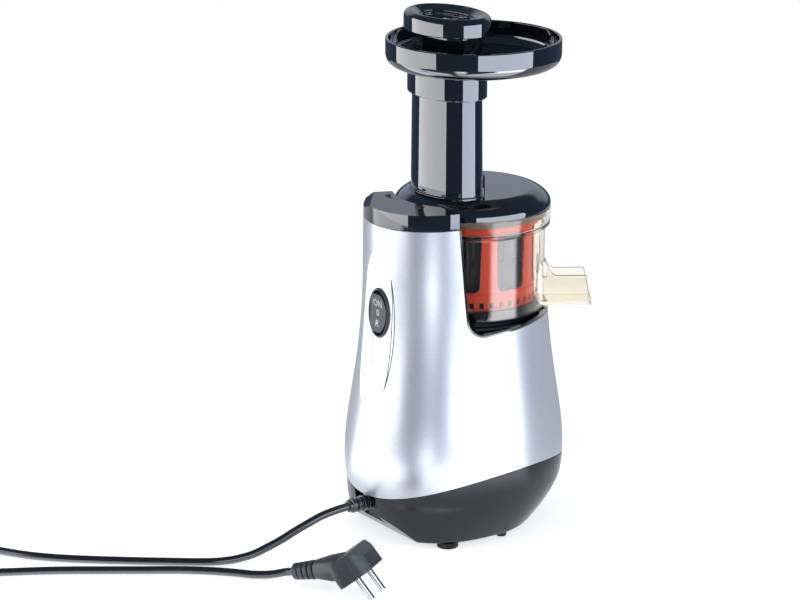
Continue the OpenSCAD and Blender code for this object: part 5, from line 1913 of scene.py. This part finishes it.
@dataclass
class Pusher:
    """The hollow pusher with its capped grip."""

    stem_r: float = 17.5
    low: float = 264.0
    wall: float = 2.4
    seat: float = 354.2
    shoulder: float = 21.6
    cap_r: float = 27.4
    cap_low: float = 380.0
    cap_top: float = 393.6
    round_r: float = 5.0
    grip: float = 15.4
    grip_flare: float = 7.2
    ridge: float = 6.0

    def build_stem(self) -> None:
        """Make the hollow stem and its shoulder."""
        bore, floor = self.stem_r - self.wall, self.low + self.wall
        outline = [
            (0, self.low), (self.stem_r, self.low, 1.2), (self.stem_r, self.seat),
            (self.shoulder - 1.2, self.seat, 0.6), (self.shoulder, self.cap_low), (bore, self.cap_low),
            (bore, floor), (0, floor),
        ]
        stem = BODY.feed("pusher_stem", rounded(outline, 4))
        place(stem, Look.BLACK_GLOSS, "pusher_group", "pusher")

    def build_cap(self) -> None:
        """Make the cap with its oval finger recess and the grip bar across it."""
        low, top, grip = self.cap_low + 0.02, self.cap_top, self.grip
        plug, flare, floor = self.stem_r - self.wall - 0.05, self.grip + self.grip_flare, low + 6
        outline = [
            (0, low - 5), (plug, low - 5), (plug, low), (self.cap_r, low, 0.8),
            (self.cap_r, top, self.round_r), (0, top),
        ]
        cap = BODY.feed("pusher_knob", rounded(outline, 10))
        hollow = [
            (0, floor), (grip - 1.4, floor, 1.5), (grip - 1.4, top - 5, 0.6), (grip, top - 4.2, 1.5),
            (grip, top - 3.4, 4), (flare, top + 0.02), (flare, top + 20), (0, top + 20),
        ]
        recess = BODY.feed("recess", rounded(hollow, 6))
        half, y = self.ridge / 2, BODY.chute_y
        bar = block("bar", (-half, y - 20, low - 1), (half, y + 20, top - 6))
        combine(cap, Cut.AWAY, combine(recess, Cut.AWAY, bar))
        place(soften(cap, 0.8, 4, 50.0), Look.BLACK_GLOSS, "pusher_group", "pusher_cap")


# ---- inside ----


@dataclass
class Drive:
    """The pieces inside, which keep the model's own shapes under better finishes."""

    looks: dict[str, Look] = field(default_factory=lambda: {
        "seat_seal": Look.RUBBER, "base_screws": Look.STEEL, "motor_can": Look.STEEL,
        "motor_bracket": Look.STEEL, "stator": Look.COPPER, "rotor": Look.STEEL,
        "motor_fan": Look.FRAME_DARK, "motor_pinion": Look.STEEL,
        "gearbox_cup": Look.FRAME_DARK, "gearbox_lid": Look.FRAME_DARK, "gear_one": Look.NYLON,
        "gear_two": Look.NYLON, "gear_pins": Look.STEEL, "output_gear": Look.BRASS, "drive_shaft": Look.STEEL,
        "shaft_bearing": Look.BRASS, "shaft_seal": Look.RUBBER, "circuit_board": Look.BOARD,
        "capacitor": Look.FILM, "safety_switch": Look.PHENOLIC, "cord_clamp": Look.SATIN_GREY,
        "cord_tie": Look.TIE, "pulp_seal": Look.SILICONE, "wiper_idler": Look.NYLON, "auger_bush": Look.BRASS,
        "lid_gasket": Look.SMOKE_SILICONE,
    })

    def build(self) -> None:
        """Copy each node smooth, with its own finish."""
        for name, look in self.looks.items():
            node = frame["nodes"][name]
            piece = tidy(show(name + "_made", node.data.copy()), merge=0.005, angle=34.0)
            place(piece, look, body_of(node)[0], name)


# ---- studio ----


@dataclass
class Studio:
    """The pale floor, which glows with painted lamp bands in reflections, the white surround, two tall soft
    lamps and the camera.

    Directions are degrees to the right of the camera's line, seen from the object.
    """

    azimuth: float = 233.0
    pitch: float = 17.14
    yaw: float = 1.18
    distance: float = 2.0
    height: float = 0.789
    focal: float = 125.1
    floor_r: float = 1.05
    left: Pair = (-119.0, -49.0)
    right: Pair = (6.0, 82.0)
    # The directions of a painted bright stripe in the floor's reflected bands.
    painted_stripe: Pair = (-24.0, -9.0)
    lamp_reach: float = 1.5
    lamp_middle: float = 0.325
    lamp_height: float = 1.25

    def axes(self) -> tuple[Vector, Vector]:
        """Work out the view's level directions.

        Returns:
            The direction away from the camera and the one to its right.
        """
        a = math.radians(self.azimuth)
        away = Vector((-math.sin(a), math.cos(a), 0))
        return away, Vector((away.y, -away.x, 0))

    def build_camera(self) -> None:
        """Place the camera."""
        away, side = self.axes()
        yaw, pitch = math.radians(self.yaw), math.radians(self.pitch)
        level = away * math.cos(yaw) - side * math.sin(yaw)
        right = side * math.cos(yaw) + away * math.sin(yaw)
        forward = level * math.cos(pitch) - Vector((0, 0, math.sin(pitch)))
        lens = bpy.data.cameras.new("camera")
        lens.lens, lens.sensor_width, lens.clip_end = self.focal, 36.0, 50.0
        camera = show("camera", lens)
        turn = Matrix((right, right.cross(forward), -forward)).transposed().to_4x4()
        turn.translation = away * -self.distance + Vector((0, 0, self.height))
        camera.matrix_world = turn
        bpy.context.scene.camera = camera

    def lamp(self, name: str, span: Pair, level: float, colour: str) -> None:
        """Place an upright soft lamp.

        Args:
            name: the lamp's name.
            span: the directions of its two edges.
            level: radiance.
            colour: sRGB colour.
        """
        away, side = self.axes()
        a = math.radians(sum(span) / 2)
        out = -away * math.cos(a) + side * math.sin(a)
        width = 2 * self.lamp_reach * math.tan(math.radians(span[1] - span[0]) / 2)
        light = bpy.data.lights.new(name, "AREA")
        light.shape, light.size, light.size_y = "RECTANGLE", width, self.lamp_height
        light.energy = level * math.pi * width * self.lamp_height
        light.color = linear(colour)[:3]
        lamp = show(name, light)
        lamp.location = out * self.lamp_reach + Vector((0, 0, self.lamp_middle))
        lamp.rotation_euler = (-out).to_track_quat("-Z", "Y").to_euler()
        lamp.visible_camera = False

    def span(self, tree: Tree, turn: Socket, ends: Pair, soft: float = 5.0, grow: Value = 0.0) -> Socket:
        """Return one inside a range of directions, and nought outside it.

        Args:
            tree: the tree that the nodes go into.
            turn: the direction as a part of a full turn, a half being the camera's side.
            ends: the directions at which the range starts and ends.
            soft: degrees over which it fades.
            grow: what the range grows by on both sides, as a part of a full turn.

        Returns:
            The factor.
        """
        middle = 0.5 + (ends[0] + ends[1]) / 720
        half = (ends[1] - ends[0]) / 720
        off = add(tree, "ShaderNodeMath", {0: turn, 1: middle}, operation="SUBTRACT")
        away = add(tree, "ShaderNodeMath", {0: off.outputs[0]}, operation="ABSOLUTE")
        less = add(tree, "ShaderNodeMath", {0: away.outputs[0], 1: grow}, operation="SUBTRACT")
        fade = {0: less.outputs[0], 1: half - soft / 720, 2: half + soft / 720, 3: 1.0, 4: 0.0}
        return add(tree, "ShaderNodeMapRange", fade, interpolation_type="SMOOTHSTEP").outputs[0]

    def behind(self, tree: Tree, turn: Socket, ends: Pair) -> Socket:
        """Return one outside a range of directions, fading over 20 degrees."""
        front = self.span(tree, turn, ends, 20.0)
        return add(tree, "ShaderNodeMath", {0: 1.0, 1: front}, operation="SUBTRACT").outputs[0]

    def turn(self, tree: Tree, place: Socket) -> Socket:
        """Add the nodes that turn a place's direction into a number.

        Args:
            tree: the tree that the nodes go into.
            place: the coordinates that the direction is read from.

        Returns:
            The direction as a part of a full turn.
        """
        face = {"Vector": place, "Rotation": (0.0, 0.0, math.radians(90 - self.azimuth))}
        level = add(tree, "ShaderNodeMapping", face)
        round_axis = add(tree, "ShaderNodeTexGradient", {0: level.outputs[0]}, gradient_type="RADIAL")
        return round_axis.outputs["Fac"]

    def seen(self, tree: Tree, rays: Node, place: Socket) -> Socket:
        """Return one for a camera ray, and for a ray through the bowl that leaves behind the juicer.

        Args:
            tree: the tree that the nodes go into.
            rays: the Light Path node.
            place: the coordinates that the direction is read from.

        Returns:
            The factor.
        """
        behind = self.behind(tree, self.turn(tree, place), (-95.0, 95.0))
        both = {0: rays.outputs["Is Transmission Ray"], 1: behind}
        through = add(tree, "ShaderNodeMath", both, operation="MULTIPLY")
        either = {0: rays.outputs["Is Camera Ray"], 1: through.outputs[0]}
        return add(tree, "ShaderNodeMath", either, operation="MAXIMUM").outputs[0]

    def build_lights(self) -> None:
        """Place the lamps and set the surround: white to the eye, dim as light, brighter behind."""
        self.lamp("lamp_left", self.left, 2.45, "#fdfdff")
        self.lamp("lamp_right", self.right, 3.45, "#e4edff")
        world = bpy.data.worlds.new("surround")
        bpy.context.scene.world = world
        world.use_nodes = True
        tree = world.node_tree
        tree.nodes.clear()
        rays = add(tree, "ShaderNodeLightPath")
        place = add(tree, "ShaderNodeTexCoord").outputs["Generated"]
        height = add(tree, "ShaderNodeSeparateXYZ", {0: place}).outputs[2]
        rise = add(tree, "ShaderNodeMapRange", {0: height, 1: 0.02, 2: 0.12, 3: 0.0, 4: 1.0}).outputs[0]
        fall = add(tree, "ShaderNodeMapRange", {0: height, 1: 0.42, 2: 0.52, 3: 1.0, 4: 0.0}).outputs[0]
        behind = self.behind(tree, self.turn(tree, place), (-140.0, 140.0))
        over = add(tree, "ShaderNodeMath", {0: rise, 1: fall}, operation="MULTIPLY").outputs[0]
        lit = add(tree, "ShaderNodeMath", {0: behind, 1: over}, operation="MULTIPLY").outputs[0]
        tones = {0: lit, 6: (0.05, 0.075, 0.12, 1.0), 7: (0.37, 0.42, 0.50, 1.0)}
        shine = add(tree, "ShaderNodeMix", tones, data_type="RGBA").outputs[2]
        soft = add(tree, "ShaderNodeBackground", {"Color": linear("#f4f6fa"), "Strength": 0.5})
        gloss = add(tree, "ShaderNodeBackground", {"Color": shine, "Strength": 1.0})
        white = add(tree, "ShaderNodeBackground", {"Color": (1.0, 1.0, 1.0, 1.0), "Strength": 1.0})
        mirrored = rays.outputs["Is Glossy Ray"]
        near = add(tree, "ShaderNodeMixShader", {0: mirrored, 1: soft.outputs[0], 2: gloss.outputs[0]})
        shares = {0: self.seen(tree, rays, place), 1: near.outputs[0], 2: white.outputs[0]}
        mix = add(tree, "ShaderNodeMixShader", shares)
        add(tree, "ShaderNodeOutputWorld", {"Surface": mix.outputs[0]})

    def painted_lamp_bands(self, tree: Tree, turn: Socket, reach: Socket) -> Socket:
        """Return what the floor shows in a reflection: painted bands of lamp light with a painted bright
        stripe, wider or narrower by the reach.

        Args:
            tree: the floor material's tree.
            turn: the direction as a part of a full turn.
            reach: metres from the axis.

        Returns:
            The colour.
        """
        ramp = "ShaderNodeMapRange"
        first = add(tree, ramp, {0: reach, 1: 0.36, 2: 0.6, 3: -14 / 360, 4: 25 / 360}).outputs[0]
        last = add(tree, ramp, {0: reach, 1: 0.86, 2: 1.03, 3: 25 / 360, 4: 8 / 360}).outputs[0]
        widen = add(tree, "ShaderNodeMath", {0: first, 1: last}, operation="MINIMUM").outputs[0]
        narrow = add(tree, ramp, {0: reach, 1: 0.86, 2: 1.03, 3: -9 / 360, 4: -2 / 360}).outputs[0]
        gap = self.span(tree, turn, (self.left[1], self.right[0]), 9.0, widen)
        both = self.span(tree, turn, (self.left[0], self.right[1]), 9.0, narrow)
        near = add(tree, ramp, {0: reach, 1: 0.86, 2: 0.92, 3: 0.7, 4: 0.0}).outputs[0]
        # A painted bright stripe, taken out of the dark gap close in.
        line = self.span(tree, turn, self.painted_stripe, 7.0)
        painted_stripe = add(tree, "ShaderNodeMath", {0: line, 1: near}, operation="MULTIPLY").outputs[0]
        less = {"operation": "SUBTRACT", "use_clamp": True}
        dark = add(tree, "ShaderNodeMath", {0: gap, 1: painted_stripe}, **less).outputs[0]
        bright = add(tree, "ShaderNodeMath", {0: both, 1: dark}, **less).outputs[0]
        # The level of the painted lamp glow, by direction and reach.
        peak = add(tree, ramp, {0: turn, 1: 0.43, 2: 0.46, 3: 2.6, 4: 6.5}).outputs[0]
        up = add(tree, ramp, {0: reach, 1: 0.46, 2: 0.56, 3: 2.6, 4: peak}).outputs[0]
        down = add(tree, ramp, {0: reach, 1: 0.88, 2: 0.96, 3: peak, 4: 1.9}).outputs[0]
        level = add(tree, "ShaderNodeMath", {0: up, 1: down}, operation="MINIMUM").outputs[0]
        lit = add(tree, "ShaderNodeVectorMath", {0: (0.92, 0.96, 1.04), "Scale": level}, operation="SCALE")
        sides = {0: gap, 6: (0.40, 0.42, 0.46, 1.0), 7: (0.12, 0.14, 0.18, 1.0)}
        side = add(tree, "ShaderNodeMix", sides, data_type="RGBA").outputs[2]
        tones = {0: bright, 6: side, 7: lit.outputs[0]}
        far = add(tree, "ShaderNodeMix", tones, data_type="RGBA").outputs[2]
        off = add(tree, ramp, {0: reach, 1: 0.14, 2: 0.24, 3: 0.0, 4: 1.0}).outputs[0]
        near_far = {0: off, 6: (0.75, 0.78, 0.83, 1.0), 7: far}
        return add(tree, "ShaderNodeMix", near_far, data_type="RGBA").outputs[2]

    def cover(self) -> bpy.types.Material:
        """Make the matt white board: lifted to white for the eye; in a reflection it glows with painted lamp
        bands, painted light from a board that is no lamp.

        Returns:
            The floor's material.
        """
        material, tree, shader, place = Finish("", "matt_white_board", "#ececec", 0.7).start()
        rays = add(tree, "ShaderNodeLightPath")
        reach = add(tree, "ShaderNodeVectorMath", {0: place}, operation="LENGTH").outputs["Value"]
        painted_lamp_bands = self.painted_lamp_bands(tree, self.turn(tree, place), reach)
        lift = add(tree, "ShaderNodeEmission", {"Color": (1.0, 1.0, 1.0, 1.0), "Strength": 0.6})
        # Painted light: the glow of lamp bands that reflections see on the floor.
        painted_lamp_glow = add(tree, "ShaderNodeEmission", {"Color": painted_lamp_bands, "Strength": 1.0})
        eye = add(tree, "ShaderNodeAddShader", {0: shader.outputs[0], 1: lift.outputs[0]})
        mirrored = rays.outputs["Is Glossy Ray"]
        plain = add(tree, "ShaderNodeMixShader", {0: mirrored, 1: shader.outputs[0], 2: painted_lamp_glow.outputs[0]})
        shares = {0: self.seen(tree, rays, place), 1: plain.outputs[0], 2: eye.outputs[0]}
        mix = add(tree, "ShaderNodeMixShader", shares)
        end = next(node for node in tree.nodes if node.type == "OUTPUT_MATERIAL")
        tree.links.new(mix.outputs[0], end.inputs["Surface"])
        return material

    def build_floor(self) -> None:
        """Make the floor."""
        r = self.floor_r / MM
        floor = solid("floor", [(x, y, 0) for x, y in ellipse(r, r)], [range(96)])
        floor.data.materials.append(self.cover())

    def settings(self) -> None:
        """Show colours plainly."""
        bpy.context.scene.view_settings.view_transform = "Standard"


def main() -> None:
    """Build everything in order: camera and cord, studio, foot, bowl, lid and feed."""
    studio, repeat, cord = Studio(), Repeat(), Cord()
    studio.build_camera()
    Drive().build()
    cord.build_plug()
    cord.build_cord()
    cord.build_boot()
    studio.build_floor()
    studio.build_lights()
    studio.settings()
    housing, cover, base, switch = Housing(), RearCover(), Base(), Switch()
    housing.build_shell()
    housing.build_groove_painted_shadow()
    housing.build_panel()
    housing.build_liner()
    cover.build_cover()
    cover.build_marks()
    base.build_shell()
    base.build_feet()
    switch.build_bezel()
    switch.build_rocker()
    switch.build_words()
    bowl, strainer, auger = Bowl(), Strainer(), Auger()
    bowl.build_bowl()
    bowl.build_floor()
    strainer.build_frame(repeat)
    strainer.build_sheet()
    strainer.build_wiper(repeat)
    strainer.build_blades()
    auger.build_core()
    auger.build_blades(repeat)
    pusher = Pusher()
    Lid().build_lid()
    Tray().build()
    pusher.build_stem()
    pusher.build_cap()


if __name__ == "__main__":
    logging.basicConfig(level=logging.INFO, format="%(name)s: %(message)s")
    main()
